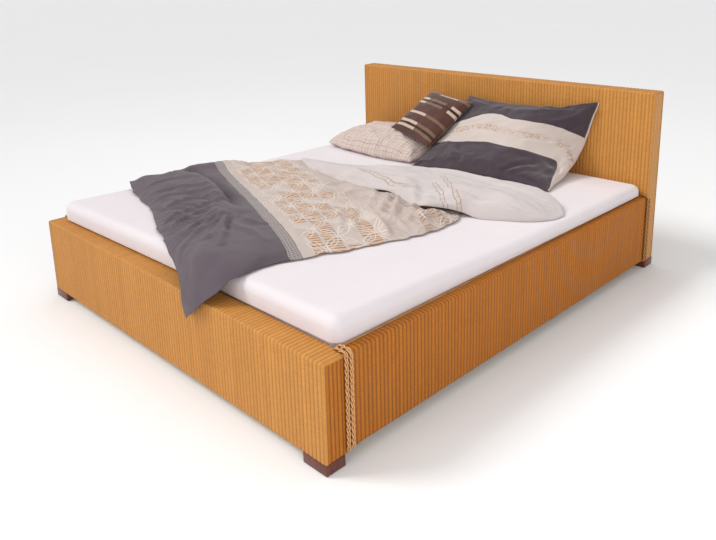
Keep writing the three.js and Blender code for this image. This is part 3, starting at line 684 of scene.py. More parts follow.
def braid(node, look, turn, cord, onto_top=0.0):
    """A flat plait of three strands up a cover's face, then over its top edge by a length. turn is
    the length of one turn and cord half a strand's width."""
    low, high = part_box(node)
    sign = 1 if low.x > 0 else -1
    face = min(abs(low.x), abs(high.x))
    middle = (low.y + high.y) / 2
    swing = (high.y - low.y) / 2 - cord
    thick, wave, strands = 0.0026, 0.0020, 3
    rise = BOARD_TOP - EDGE_RADIUS - low.z if onto_top else high.z - low.z - 0.004
    bend = EDGE_RADIUS * math.pi / 2 if onto_top else 0.0
    steps = int((rise + bend + onto_top) / turn * 36)
    run = np.linspace(0.002, rise + bend + onto_top, steps)
    tilt = np.clip((run - rise) / EDGE_RADIUS, 0, math.pi / 2)
    past = np.clip(run - rise - bend, 0, None)
    path_x = (face - EDGE_RADIUS * (1 - np.cos(tilt)) - past)[:, None]
    path_z = (low.z + np.minimum(run, rise) + EDGE_RADIUS * np.sin(tilt))[:, None]
    upright, level = np.cos(tilt)[:, None], np.sin(tilt)[:, None]
    ring = np.linspace(0, 2 * math.pi, 11)
    plait = Patches()
    for number in range(strands):
        phase = 2 * math.pi * (run / turn + number / strands)
        sway = swing * np.sin(phase)
        slope = np.gradient(sway, run)
        size = np.sqrt(1 + slope ** 2)
        width = cord * (1 + 0.15 * np.cos(phase) ** 2)
        across = (width / size)[:, None] * np.cos(ring)
        ahead = (-width * slope / size)[:, None] * np.cos(ring)
        out = (wave + thick + wave * np.sin(2 * phase))[:, None] + thick * np.sin(ring)
        tube = np.zeros((steps, len(ring), 3))
        tube[..., 0] = sign * (path_x + out * upright - ahead * level)
        tube[..., 1] = middle + sway[:, None] + across
        tube[..., 2] = path_z + out * level + ahead * upright
        plait.add(tube, ring, run, flipped=sign < 0)
    plait.show(node + "_plait", node, look)


def eased_board(node, look, ease=0.002):
    """A planed board with its edges eased, in the place of its plain solid."""
    low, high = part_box(node)
    size = high - low
    bpy.ops.mesh.primitive_cube_add(size=1)
    board = bpy.context.active_object
    board.name = node + "_board"
    board.data.name = board.name
    board.data.transform(Matrix.Translation((low + high) / 2) @ Matrix.Diagonal((*size, 1.0)))
    bevel = board.modifiers.new("eased", "BEVEL")
    bevel.width = ease
    bevel.segments = 3
    bpy.ops.object.modifier_apply(modifier=bevel.name)
    board.data.polygons.foreach_set("use_smooth", np.full(len(board.data.polygons), True))
    bpy.ops.object.shade_auto_smooth(angle=math.radians(35))
    board.data.materials.append(look)
    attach(board, "bed_frame")
    show_instead(node)


# A bolt head's rings, outwards from its middle: shares of its radius, across and in height
BOLT_RINGS = ((0.05, 0.35), (0.18, 0.30), (0.2, 0.5), (0.6, 0.42), (0.9, 0.2), (1.0, 0.0))


def bolt_head(name, place, outward, look):
    """A domed head with a shallow cross in its middle."""
    around = 24
    points = [Vector((0, 0, 0.2 * BOLT_RADIUS))]
    for share, height in BOLT_RINGS:
        for k in range(around):
            angle = 2 * math.pi * k / around
            sunk = 0.15 if k % 6 in (0, 1) and share < 0.55 else 0.0
            point = share * math.cos(angle), share * math.sin(angle), height - sunk
            points.append(BOLT_RADIUS * Vector(point))
    faces = [[0, 1 + k, 1 + (k + 1) % around] for k in range(around)]
    faces += grid_faces(len(BOLT_RINGS), around, 1, closed=True)[:, ::-1].tolist()
    turn = Vector((0, 0, 1)).rotation_difference(Vector(outward)).to_matrix()
    piece(name, [Vector(place) + turn @ point for point in points], faces, look, "bed_frame")


# Soft pieces


def lattice_noise(x, y, scale, salt):
    """Smooth noise from -1 to 1 over a plane, from a fixed table of numbers."""
    table = np.random.default_rng(salt).uniform(-1, 1, (64, 64))
    u, v = np.asarray(x) / scale, np.asarray(y) / scale
    i, j = np.floor(u).astype(int), np.floor(v).astype(int)
    fu, fv = u - i, v - j
    fu, fv = fu * fu * fu * (fu * (fu * 6 - 15) + 10), fv * fv * fv * (fv * (fv * 6 - 15) + 10)
    value = lambda a, b: table[(i + a) % 64, (j + b) % 64]
    near = value(0, 0) * (1 - fu) + value(1, 0) * fu
    far = value(0, 1) * (1 - fu) + value(1, 1) * fu
    return near * (1 - fv) + far * fv


def creases(x, y, scale, salt, angle=0.0, stretch=3.0):
    """Sharp-backed creases from 0 to 1 that run along one direction."""
    c, s = math.cos(angle), math.sin(angle)
    along, across = c * x + s * y, -s * x + c * y
    bend = 0.5 * scale * lattice_noise(x, y, 3 * scale, salt + 1)
    value = lattice_noise(along / stretch, across + bend, scale, salt)
    return 1 - np.abs(value)


def stuffed(cells_u, cells_v, place, cloth_place):
    """Two faces on one seam, as in the solids. Returns points, quads and cloth places."""
    a = np.linspace(-1, 1, cells_u + 1)
    b = np.linspace(-1, 1, cells_v + 1)
    u, v = np.meshgrid(a, b, indexing="ij")
    top = place(u, v, 1)
    under = place(u, v, -1)
    onto = np.stack(cloth_place(u, v), -1)
    rows, columns = u.shape
    index_top = np.arange(rows * columns).reshape(rows, columns)
    index_under = index_top.copy()
    inside = np.zeros((rows, columns), bool)
    inside[1:-1, 1:-1] = True
    index_under[inside] = rows * columns + np.arange(inside.sum())
    points = np.vstack([top.reshape(-1, 3), under[inside]])
    cloth = np.vstack([onto.reshape(-1, 2), onto[inside]])

    def quads(index, flip):
        made = np.stack(
            [index[:-1, :-1], index[1:, :-1], index[1:, 1:], index[:-1, 1:]], -1
        ).reshape(-1, 4)
        return made[:, ::-1] if flip else made

    return points, np.vstack([quads(index_top, False), quads(index_under, True)]), cloth


def ease(value):
    """Evenly spaced places from -1 to 1, drawn together at both ends."""
    return np.sin(value * math.pi / 2)


def smooth_step(low, high, value):
    """0 up to low, 1 from high on, and smooth between them."""
    t = np.clip((value - low) / (high - low), 0, 1)
    return t * t * (3 - 2 * t)


# The sheet's height at the head end, where the mattress lies flat
SHEET_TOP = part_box("fitted_sheet")[1].z - MATTRESS_LIFT
MATTRESS_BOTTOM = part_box("mattress")[0].z
DRAPE_START = FOOT_FACE + 0.050


def mattress_rise(y):
    """How much the mattress's foot end stands above its head end."""
    return MATTRESS_LIFT * np.clip(-y, 0, None)


def bedding_height(y):
    return SHEET_TOP + REST_GAP + mattress_rise(y)


def kept_clear(points):
    """Lifts points out of the bed, and moves those back that reach into the headboard."""
    on_bed = points[:, 1] > DRAPE_START
    points[on_bed, 2] = np.maximum(points[on_bed, 2], bedding_height(points[on_bed, 1]))
    points[:, 1] = np.minimum(points[:, 1], HEAD_FACE - REST_GAP)
    return points


def settle(thing, pressure, grow, cap, frames=18, bending=0.30, clear=True):
    """Lets a stuffed piece swell and crease as cloth, its cloth grown by a share. No point ends
    further than cap from its start, and with clear none in the bed or the headboard."""
    start = np.empty(len(thing.data.vertices) * 3)
    thing.data.vertices.foreach_get("co", start)
    start = start.reshape(-1, 3)
    cloth = thing.modifiers.new("settling", "CLOTH")
    wanted = cloth.settings
    wanted.quality = 5
    wanted.mass = 0.25
    wanted.tension_stiffness = 12
    wanted.compression_stiffness = 12
    wanted.shear_stiffness = 6
    wanted.bending_stiffness = bending
    wanted.use_pressure = True
    wanted.uniform_pressure_force = pressure
    wanted.shrink_min = -grow
    wanted.effector_weights.gravity = 0
    cloth.collision_settings.use_collision = False
    cloth.point_cache.frame_start = 1
    cloth.point_cache.frame_end = frames
    scene = bpy.context.scene
    scene.frame_start, scene.frame_end = 1, frames
    for number in range(1, frames + 1):
        scene.frame_set(number)
    shown = thing.evaluated_get(bpy.context.evaluated_depsgraph_get())
    moved = np.empty(len(shown.data.vertices) * 3)
    shown.data.vertices.foreach_get("co", moved)
    moved = moved.reshape(-1, 3)
    thing.modifiers.remove(cloth)
    scene.frame_set(1)
    shift = moved - start
    size = np.linalg.norm(shift, axis=1, keepdims=True)
    shift *= np.minimum(1, cap / np.maximum(size, 1e-9))
    points = kept_clear(start + shift) if clear else start + shift
    thing.data.vertices.foreach_set("co", points.ravel())
    thing.data.update()


def subdivided(thing):
    finer = thing.modifiers.new("finer", "SUBSURF")
    finer.levels = finer.render_levels = 1


def bezier(points, t):
    a, b, c = (np.array(p) for p in points)
    t = t[..., None]
    return (1 - t) ** 2 * a + 2 * t * (1 - t) * b + t ** 2 * c


def bezier_slope(points, t):
    a, b, c = (np.array(p) for p in points)
    t = t[..., None]
    slope = 2 * (1 - t) * (b - a) + 2 * t * (c - b)
    return slope / np.linalg.norm(slope, axis=-1, keepdims=True)


def pillow(node, look, centre_x, width, depth, arc, crown, under, salt, lines, corners,
           corner_pull=0.0, tucked=(0.0, 0.0), swell=(0.0, 0.0)):
    """A pillow on the arc that its solid follows. crown and under are how far its faces stand off
    the arc, and lines are its creases. corners says, by their signs, which corners are moved and
    how far. corner_pull draws the front left corner back, tucked moves the middle of the right
    side, and swell the middles of both sides."""

    def place(a, b, side):
        u, v = ease(a), ease(b)
        across = u * (1 - 0.055 * (1 - v * v))
        along = v * (1 - (0.03 + 0.04 * (v > 0)) * (1 - u * u))
        t = (along + 1) / 2
        middle, slope = bezier(arc, t), bezier_slope(arc, t)
        into_corner = (2 * t * (1 - t) * smooth_step(0.1, 1.0, u))[..., None]
        middle = middle + into_corner * np.array(tucked)
        full = np.sqrt(np.clip((1 - u * u) * (1 - v * v), 0, 1))
        near_edge = np.sqrt(np.clip(1 - full, 0, 1))
        fold_x, fold_y = u * width / 2, v * depth / 2
        wrinkle = 0.009 * near_edge * (creases(fold_x, fold_y, 0.040, salt, 1.3, 1.6) - 0.7)
        wrinkle += 0.014 * (creases(fold_x, fold_y, 0.13, salt + 4, -0.6, 2.2) - 0.75)
        wrinkle += 0.006 * (creases(fold_x, fold_y, 0.05, salt + 8, 0.4, 2.4) - 0.75)
        wrinkle += folded(lines, fold_x, fold_y)
        rise = ((crown if side > 0 else under) * full + wrinkle * np.minimum(1, full * 3)) * side
        pull = corner_pull * ((1 - u) / 2) ** 3 * ((1 - v) / 2) ** 2
        y = middle[..., 0] - slope[..., 1] * rise + pull
        z = middle[..., 1] + slope[..., 0] * rise
        x = centre_x + across * width / 2
        x = x + swell[0] * ((1 - u) / 2) ** 3 * (1 - v * v)
        x = x + swell[1] * ((1 + u) / 2) ** 3 * (1 - v * v)
        z = z + 0.006 * (1 - full) * lattice_noise(x, y, 0.055, salt + 9)
        for to_u, to_v, dx, dy, dz in corners:
            near = ((1 + to_u * u) / 2) ** 3 * ((1 + to_v * v) / 2) ** 3
            x, y, z = x + dx * near, y + dy * near, z + dz * near
        y = np.minimum(y, HEAD_FACE - REST_GAP)
        return np.stack([x, y, bedding_height(y) + np.maximum(z, 0)], -1)

    def cloth_place(u, v):
        return ease(u) * width / 2, ease(v) * depth / 2

    points, faces, cloth = stuffed(88, 62, place, cloth_place)
    made = piece(node + "_stuffed", points, faces, look, node, cloth)
    settle(made, pressure=3.0, grow=0.02, cap=0.012)
    subdivided(made)
    show_instead(node)


def throw_cushion(look, corners, crown, salt):
    """A square cushion between four corner points, given round its seam."""
    first, second, third, fourth = (np.array(p) for p in corners)
    side = np.linalg.norm(second - first)
    normal = np.cross(second - first, fourth - first)
    normal /= np.linalg.norm(normal)

    def place(a, b, face):
        u, v = ease(a), ease(b)
        across = u * (1 - 0.05 * (1 - v * v))
        along = v * (1 - 0.05 * (1 - u * u))
        s, t = (across + 1) / 2, (along + 1) / 2
        flat = ((1 - s) * (1 - t))[..., None] * first + (s * (1 - t))[..., None] * second
        flat = flat + (s * t)[..., None] * third + ((1 - s) * t)[..., None] * fourth
        full = np.sqrt(np.clip((1 - u * u) * (1 - v * v), 0, 1))
        wrinkle = 0.005 * (creases(u * side / 2, v * side / 2, 0.06, salt, 0.8, 2.0) - 0.6)
        rise = face * (crown * full + wrinkle * np.minimum(1, 3 * full))
        return flat + rise[..., None] * normal

    def cloth_place(u, v):
        return ease(u) * side / 2, ease(v) * side / 2

    points, faces, cloth = stuffed(36, 36, place, cloth_place)
    made = piece("cushion_stuffed", points, faces, look, "cushion", cloth)
    settle(made, pressure=3.0, grow=0.015, cap=0.006, clear=False)
    subdivided(made)
    show_instead("cushion")


def spline(points, count=240):
    """A smooth line through points, as evenly spaced points."""
    p = np.array(points, float)
    p = np.vstack([p[0], p, p[-1]])
    t = np.linspace(0, 1, 24, endpoint=False)[:, None]
    line = []
    for i in range(1, len(p) - 2):
        a, b, c, d = p[i - 1], p[i], p[i + 1], p[i + 2]
        v0, v1 = (c - a) / 2, (d - b) / 2
        cubic, square = 2 * b - 2 * c + v0 + v1, -3 * b + 3 * c - 2 * v0 - v1
        line.append(cubic * t ** 3 + square * t ** 2 + v0 * t + b)
    line = np.vstack([*line, p[-1:]])
    run = run_along(line)
    even = np.linspace(0, run[-1], count)
    return np.stack([np.interp(even, run, column) for column in line.T], -1)


def along_line(line, share):
    """Points at shares of an evenly spaced line."""
    numbers = np.arange(len(line))
    at = np.clip(share, 0, 1) * (len(line) - 1)
    return np.stack([np.interp(at, numbers, column) for column in line.T], -1)


def between_edges(edges, s, t):
    """The point between four edges, at a share across and a share along."""
    near, right, far, left = edges
    s1, t1 = s[..., None], t[..., None]
    across = (1 - t1) * along_line(near, s) + t1 * along_line(far, s)
    along = (1 - s1) * along_line(left, t) + s1 * along_line(right, t)
    corner = (1 - t1) * ((1 - s1) * near[0] + s1 * near[-1])
    corner = corner + t1 * ((1 - s1) * far[0] + s1 * far[-1])
    return across + along - corner


# The duvet's outline from above, then that of its turned part. From DRAPE_START towards the foot,
# Y counts along the hanging cloth.
FOOT_EDGE = [(-0.906, -0.713), (-0.800, -0.752), (-0.700, -0.776), (-0.603, -0.804),
             (-0.519, -0.822), (-0.410, -0.861), (-0.316, -0.904), (-0.188, -0.966),
             (-0.064, -1.010), (0.090, -1.075), (0.215, -1.150), (0.250, -1.240)]
RIGHT_EDGE = [(0.250, -1.240), (0.330, -1.180), (0.400, -1.110), (0.432, -1.040), (0.436, -0.980),
              (0.430, -0.920), (0.437, -0.850), (0.452, -0.782), (0.477, -0.682), (0.511, -0.597),
              (0.537, -0.501), (0.563, -0.402), (0.588, -0.300), (0.599, -0.200), (0.600, -0.107),
              (0.585, -0.016), (0.553, 0.055), (0.505, 0.150), (0.500, 0.330)]
BODY_HEAD = [(-0.695, 0.225), (-0.510, 0.225), (-0.396, 0.270), (-0.181, 0.320), (0.0, 0.370),
             (0.180, 0.400), (0.358, 0.400), (0.500, 0.330)]
LEFT_EDGE = [(-0.905, -0.710), (-0.912, -0.450), (-0.895, -0.234), (-0.832, -0.090),
             (-0.760, 0.060), (-0.695, 0.225)]
FLAP_NEAR = [(-0.537, 0.114), (-0.412, 0.058), (-0.315, 0.038), (-0.079, -0.014), (0.080, 0.000),
             (0.183, 0.019), (0.300, -0.040), (0.412, -0.084), (0.500, -0.020), (0.570, 0.055),
             (0.645, 0.080), (0.722, 0.122), (0.800, 0.168), (0.852, 0.222)]
FLAP_FAR = [(-0.690, 0.235), (-0.560, 0.248), (-0.396, 0.280), (-0.181, 0.350), (0.0, 0.410),
            (0.180, 0.455), (0.358, 0.478), (0.573, 0.487), (0.720, 0.474), (0.812, 0.436),
            (0.884, 0.345)]
FLAP_LEFT = [(-0.537, 0.114), (-0.610, 0.172), (-0.690, 0.235)]
FLAP_RIGHT = [(0.852, 0.222), (0.880, 0.275), (0.884, 0.345)]

# Folds and creases: the points that each runs through from above, its height and its half width.
# Those of a pillow run over its laid-out face, from its middle.
FOLDS = [
    ([(-0.72, -0.60), (-0.58, -0.59), (-0.37, -0.62), (-0.19, -0.67), (-0.02, -0.73)],
     0.026, 0.100),
    ([(-0.84, -0.52), (-0.70, -0.52), (-0.52, -0.55), (-0.35, -0.60), (-0.17, -0.66)],
     0.034, 0.034),
    ([(-0.86, -0.50), (-0.80, -0.30), (-0.76, -0.10)], 0.022, 0.070),
    ([(-0.60, -0.12), (-0.23, -0.16), (0.04, -0.22)], 0.018, 0.060),
    ([(-0.10, -0.06), (0.20, -0.10), (0.46, -0.12)], 0.018, 0.050),
    ([(0.10, -0.42), (0.13, -0.33), (0.12, -0.22)], 0.012, 0.045),
    ([(0.50, -0.20), (0.53, -0.10), (0.51, 0.00)], 0.026, 0.050),
]
CREASES = [
    ([(-0.86, -0.44), (-0.70, -0.45), (-0.46, -0.50), (-0.23, -0.57), (-0.07, -0.65)],
     -0.040, 0.028),
    ([(0.15, -0.05), (0.20, -0.12), (0.25, -0.19)], 0.014, 0.014),
    ([(0.20, -0.04), (0.27, -0.10), (0.34, -0.17)], 0.016, 0.013),
    ([(0.29, -0.05), (0.35, -0.11), (0.41, -0.18)], 0.014, 0.015),
    ([(-0.48, -0.56), (-0.63, -0.58), (-0.72, -0.72)], 0.009, 0.011),
    ([(-0.36, -0.60), (-0.52, -0.66), (-0.62, -0.79)], 0.012, 0.011),
    ([(-0.28, -0.61), (-0.45, -0.71), (-0.54, -0.83)], 0.011, 0.010),
    ([(-0.22, -0.63), (-0.33, -0.74), (-0.38, -0.88)], 0.014, 0.012),
    ([(-0.18, -0.66), (-0.22, -0.80), (-0.21, -0.96)], 0.015, 0.012),
    ([(-0.15, -0.69), (-0.14, -0.84), (-0.12, -0.96)], 0.014, 0.012),
    ([(-0.11, -0.72), (-0.05, -0.86), (0.01, -0.96)], 0.014, 0.012),
    ([(-0.09, -0.74), (-0.01, -0.86), (0.05, -0.95)], 0.012, 0.011),
    ([(-0.08, -0.72), (0.02, -0.83), (0.10, -0.91), (0.15, -0.96)], 0.022, 0.017),
    ([(-0.05, -0.72), (0.06, -0.82), (0.17, -0.90), (0.25, -0.96)], 0.020, 0.017),
    ([(-0.04, -0.76), (0.04, -0.85), (0.12, -0.93)], -0.019, 0.014),
    ([(0.00, -0.73), (0.08, -0.81), (0.14, -0.87)], -0.014, 0.012),
    ([(-0.02, -0.71), (0.04, -0.70), (0.13, -0.72)], 0.011, 0.012),
    ([(0.05, -0.79), (0.18, -0.78), (0.32, -0.80)], 0.008, 0.016),
    ([(0.05, -0.73), (0.14, -0.70), (0.22, -0.66)], 0.008, 0.014),
    ([(0.26, -0.22), (0.36, -0.30), (0.50, -0.36), (0.60, -0.41)], 0.024, 0.020),
    ([(0.22, -0.34), (0.32, -0.44), (0.42, -0.52)], 0.014, 0.018),
    ([(0.24, -0.27), (0.34, -0.39), (0.44, -0.47)], 0.012, 0.016),
    ([(0.40, -0.30), (0.32, -0.19), (0.25, -0.09)], 0.022, 0.016),
    ([(0.45, -0.26), (0.37, -0.16), (0.30, -0.06)], 0.022, 0.014),
    ([(0.50, -0.24), (0.45, -0.14), (0.42, -0.05)], 0.019, 0.014),
    ([(0.56, -0.28), (0.47, -0.27), (0.38, -0.28)], 0.016, 0.016),
    ([(0.59, -0.18), (0.52, -0.16), (0.46, -0.18)], 0.019, 0.016),
    ([(0.60, -0.09), (0.54, -0.08), (0.48, -0.10)], 0.019, 0.015),
    ([(-0.12, -0.22), (-0.06, -0.12), (-0.04, -0.04)], 0.014, 0.014),
    ([(0.08, -0.26), (0.10, -0.16), (0.14, -0.05)], 0.016, 0.014),
]
FLAP_FOLDS = [
    ([(-0.50, 0.15), (-0.25, 0.10), (0.02, 0.10), (0.24, 0.12)], 0.020, 0.034),
    ([(-0.66, 0.225), (-0.45, 0.205), (-0.20, 0.24), (0.05, 0.30)], 0.014, 0.026),
    ([(0.28, 0.27), (0.47, 0.22), (0.69, 0.22), (0.86, 0.27)], 0.016, 0.048),
    ([(0.14, 0.14), (0.24, 0.09), (0.34, 0.02), (0.40, -0.06)], 0.020, 0.036),
    ([(0.38, 0.14), (0.44, 0.10), (0.52, 0.11), (0.58, 0.14)], 0.026, 0.034),
    ([(0.40, 0.02), (0.45, -0.03), (0.51, 0.00), (0.56, 0.05)], 0.022, 0.022),
]
FLAP_CREASES = [
    ([(-0.42, 0.09), (-0.12, 0.03), (0.06, 0.04), (0.24, 0.07)], -0.018, 0.014),
    ([(-0.40, 0.22), (-0.15, 0.19), (0.12, 0.20)], -0.011, 0.018),
    ([(0.28, 0.10), (0.36, 0.03), (0.43, -0.06)], -0.016, 0.022),
    ([(0.40, 0.17), (0.60, 0.15), (0.80, 0.21)], -0.015, 0.018),
    ([(0.52, 0.06), (0.66, 0.11), (0.80, 0.18)], 0.011, 0.015),
    ([(0.44, 0.36), (0.60, 0.36), (0.78, 0.36)], -0.009, 0.020),
    ([(0.10, 0.40), (0.30, 0.42), (0.52, 0.42)], 0.009, 0.014),
]
RIGHT_PILLOW_CREASES = [
    ([(-0.20, -0.12), (-0.16, -0.19), (-0.13, -0.26)], -0.013, 0.012),
    ([(-0.24, -0.13), (-0.20, -0.20), (-0.18, -0.26)], 0.008, 0.014),
    ([(0.12, -0.29), (0.18, -0.21), (0.26, -0.17)], -0.015, 0.011),
    ([(0.16, -0.29), (0.22, -0.22), (0.29, -0.20)], 0.010, 0.013),
    ([(0.32, -0.10), (0.36, -0.13), (0.38, -0.18)], -0.010, 0.010),
    ([(0.10, -0.10), (0.20, -0.12), (0.30, -0.11)], 0.007, 0.012),
    ([(-0.10, 0.29), (-0.10, 0.25), (-0.12, 0.21)], -0.009, 0.008),
    ([(-0.06, 0.29), (-0.06, 0.24), (-0.05, 0.19)], 0.008, 0.010),
    ([(0.38, 0.28), (0.30, 0.21), (0.20, 0.17)], 0.010, 0.013),
    ([(0.38, 0.24), (0.33, 0.16), (0.28, 0.10)], -0.009, 0.011),
    ([(-0.14, 0.17), (-0.22, 0.11), (-0.30, 0.08)], 0.010, 0.018),
    ([(0.34, 0.04), (0.24, 0.00), (0.14, -0.01)], 0.006, 0.012),
]
LEFT_PILLOW_CREASES = [
    ([(-0.30, 0.02), (-0.10, 0.01), (0.10, -0.02)], 0.010, 0.016),
    ([(-0.34, -0.10), (-0.22, -0.06), (-0.10, -0.07)], 0.009, 0.013),
    ([(0.00, 0.08), (0.06, -0.04), (0.14, -0.14)], -0.010, 0.013),
    ([(0.05, 0.10), (0.12, -0.02), (0.22, -0.12)], 0.010, 0.014),
    ([(-0.25, -0.22), (-0.22, -0.15), (-0.20, -0.09)], -0.012, 0.012),
    ([(-0.10, -0.22), (-0.09, -0.15), (-0.05, -0.09)], 0.009, 0.013),
    ([(0.08, -0.22), (0.10, -0.16), (0.14, -0.10)], -0.010, 0.012),
    ([(-0.36, 0.05), (-0.26, 0.06), (-0.16, 0.12)], 0.009, 0.016),
]

# The pattern's frame on the duvet: along the band's lower edge, and away from the foot end
BAND_START = np.array((-0.905, -0.234))
BAND_RUN = np.array((0.923, -0.385))
BAND_AWAY = np.array((0.385, 0.923))


def folded(folds, x, y):
    """The height of folds that run along lines and fade at both ends."""
    x, y = x + 0.006 * lattice_noise(x, y, 0.07, 35), y + 0.006 * lattice_noise(x, y, 0.07, 36)
    height = np.zeros_like(x)
    for points, rise, reach in folds:
        points = np.array(points)
        runs = np.linalg.norm(np.diff(points, axis=0), axis=1)
        gap, place, passed = np.full_like(x, 9.0), np.zeros_like(x), 0.0
        for start, end, run in zip(points[:-1], points[1:], runs):
            way = (end - start) / run
            share = np.clip((x - start[0]) * way[0] + (y - start[1]) * way[1], 0, run)
            here = np.hypot(x - start[0] - share * way[0], y - start[1] - share * way[1])
            place = np.where(here < gap, (passed + share) / runs.sum(), place)
            gap = np.minimum(here, gap)
            passed += run
        fade = np.sqrt(np.clip(4 * place * (1 - place), 0, 1))
        height += rise * fade * np.exp(-((gap / reach) ** 2))
    return height


def pockets(x):
    """Where the turned part lifts off the rest and leaves dark pockets under its edge."""
    return 0.7 * np.exp(-(((x - 0.13) / 0.040) ** 2)) + np.exp(-(((x - 0.455) / 0.045) ** 2))


def drape_path():
    """The duvet's underside from the mattress over the footboard: distance, then height."""
    edge = FOOT_FACE + 0.010
    front = FOOT_FRONT - REST_GAP
    return spline([
        (DRAPE_START, bedding_height(DRAPE_START)),
        (edge + 0.004, bedding_height(edge) + 0.003),
        (edge - 0.044, bedding_height(edge) - 0.007),
        (front + 0.006, BOARD_TOP + 0.028),
        (front - 0.014, BOARD_TOP - 0.006),
        (front - 0.017, BOARD_TOP - 0.060),
        (front - 0.017, BOARD_TOP - 0.170),
    ])


# Where the creases of the duvet's grey end run together
PINCH = (-0.07, -0.69)


def duvet_wrinkles(x, y):
    """Creases of the duvet's upper face, in metres: a fan round a pinch in the grey end, folds
    gathered under the turned part, and small ones over the field."""
    dx, dy = x - PINCH[0], y - PINCH[1]
    reach = np.hypot(dx, dy)
    angle = np.mod(np.arctan2(dy, dx), 2 * math.pi)
    sector = smooth_step(math.pi - 0.15, math.pi + 0.05, angle) * smooth_step(5.7, 5.4, angle)
    from_band = (x - BAND_START[0]) * BAND_AWAY[0] + (y - BAND_START[1]) * BAND_AWAY[1]
    in_field = smooth_step(-0.04, 0.10, from_band)
    fan = creases(angle * 0.50, reach * 0.08, 0.040, 31, math.pi / 2, 1.6)
    fan_share = smooth_step(0.04, 0.14, reach) * smooth_step(0.66, 0.34, reach) * sector
    height = 0.014 * fan_share * (1 - in_field) * (fan - 0.85)
    from_flap = np.interp(x, *np.array(FLAP_NEAR).T) - y
    gathered = smooth_step(0.28, 0.08, from_flap) * smooth_step(0.01, 0.06, from_flap)
    gathered = gathered * smooth_step(-0.30, 0.05, x)
    height += 0.014 * gathered * (creases(x, y, 0.055, 37, 1.35, 2.2) - 0.80)
    fine = 0.20 + 0.80 * in_field
    height += 0.010 * fine * (creases(x, y, 0.12, 32, -0.35, 2.6) - 0.85)
    height += 0.007 * fine * (creases(x, y, 0.050, 33, 0.9, 2.6) - 0.85)
    height += 0.003 * fine * (creases(x, y, 0.024, 34, -0.2, 2.2) - 0.85)
    return height + folded(CREASES, x, y)


def duvet_shares(a, b):
    """Shares from 0 to 1 between a duvet part's edges, a little closer together at its seams."""
    return (ease(a) + a) / 4 + 0.5, (ease(b) + b) / 4 + 0.5


def on_pattern(edges):
    """Finds places on the duvet's cloth: along the band, and away from it."""

    def cloth_place(a, b):
        offset = between_edges(edges, *duvet_shares(a, b)) - BAND_START
        return offset @ BAND_RUN, offset @ BAND_AWAY

    return cloth_place


def duvet(look):
    """The duvet as it lies, without the turned-over part."""
    edges = [spline(e) for e in (FOOT_EDGE, RIGHT_EDGE, BODY_HEAD, LEFT_EDGE)]
    path = drape_path()
    path_run = run_along(path)
    slope = np.gradient(path, axis=0)
    slope /= np.linalg.norm(slope, axis=1, keepdims=True)

    def rim(share, length, reach):
        """0 at a seam and 1 from a reach inwards, where the length is that of the whole."""
        return np.sin(math.pi / 2 * np.minimum(1, share * length / reach))

    def place(a, b, side):
        s, t = duvet_shares(a, b)
        spot = between_edges(edges, s, t)
        x, along = spot[..., 0], spot[..., 1]
        near_seam = rim(s, 1.35, 0.09) * rim(1 - s, 1.35, 0.20)
        near_seam = near_seam * rim(t, 1.3, 0.13) * rim(1 - t, 1.3, 0.10)
        uneven = 0.006 * (1 - near_seam) * smooth_step(FOOT_FRONT, FOOT_FACE, along)
        x = x + uneven * lattice_noise(spot[..., 0], spot[..., 1], 0.042, 45)
        along = along + uneven * lattice_noise(spot[..., 0], spot[..., 1], 0.042, 46)
        hanging = smooth_step(FOOT_FACE, FOOT_FRONT, along)
        past_flap = along - np.interp(x, *np.array(FLAP_NEAR).T)
        sunk = smooth_step(-0.050, 0.030, past_flap) * 0.020
        sunk = sunk + smooth_step(-0.050, 0.0, past_flap) * 0.014 * pockets(x)
        full = 0.048 * (1 - 0.45 * hanging) + folded(FOLDS, x, along) - sunk
        seam_lift = 0.005 + 0.020 * np.exp(-((x + 0.905) ** 2 + (along + 0.71) ** 2) / 0.012)
        if side > 0:
            wrinkle = duvet_wrinkles(x, along) * np.minimum(1, 2 * near_seam)
            lift = seam_lift + full * near_seam + wrinkle
        else:
            lift = seam_lift * (1 - near_seam)
        flat = np.stack([x, along, bedding_height(along) + lift], -1)
        run = np.clip(DRAPE_START - along, 0, path_run[-1])
        on_path = [np.interp(run, path_run, path[:, k]) for k in (0, 1)]
        turn = [np.interp(run, path_run, slope[:, k]) for k in (0, 1)]
        draped = np.stack([x, on_path[0] + turn[1] * lift, on_path[1] - turn[0] * lift], -1)
        over = smooth_step(0.0, 0.060, DRAPE_START - along)[..., None]
        return flat + (draped - flat) * over

    points, faces, cloth = stuffed(200, 200, place, on_pattern(edges))
    made = piece("duvet_body", points, faces, look, "duvet", cloth)
    settle(made, pressure=0.8, grow=0.03, cap=0.006, frames=9, bending=0.20)
    show_instead("duvet")


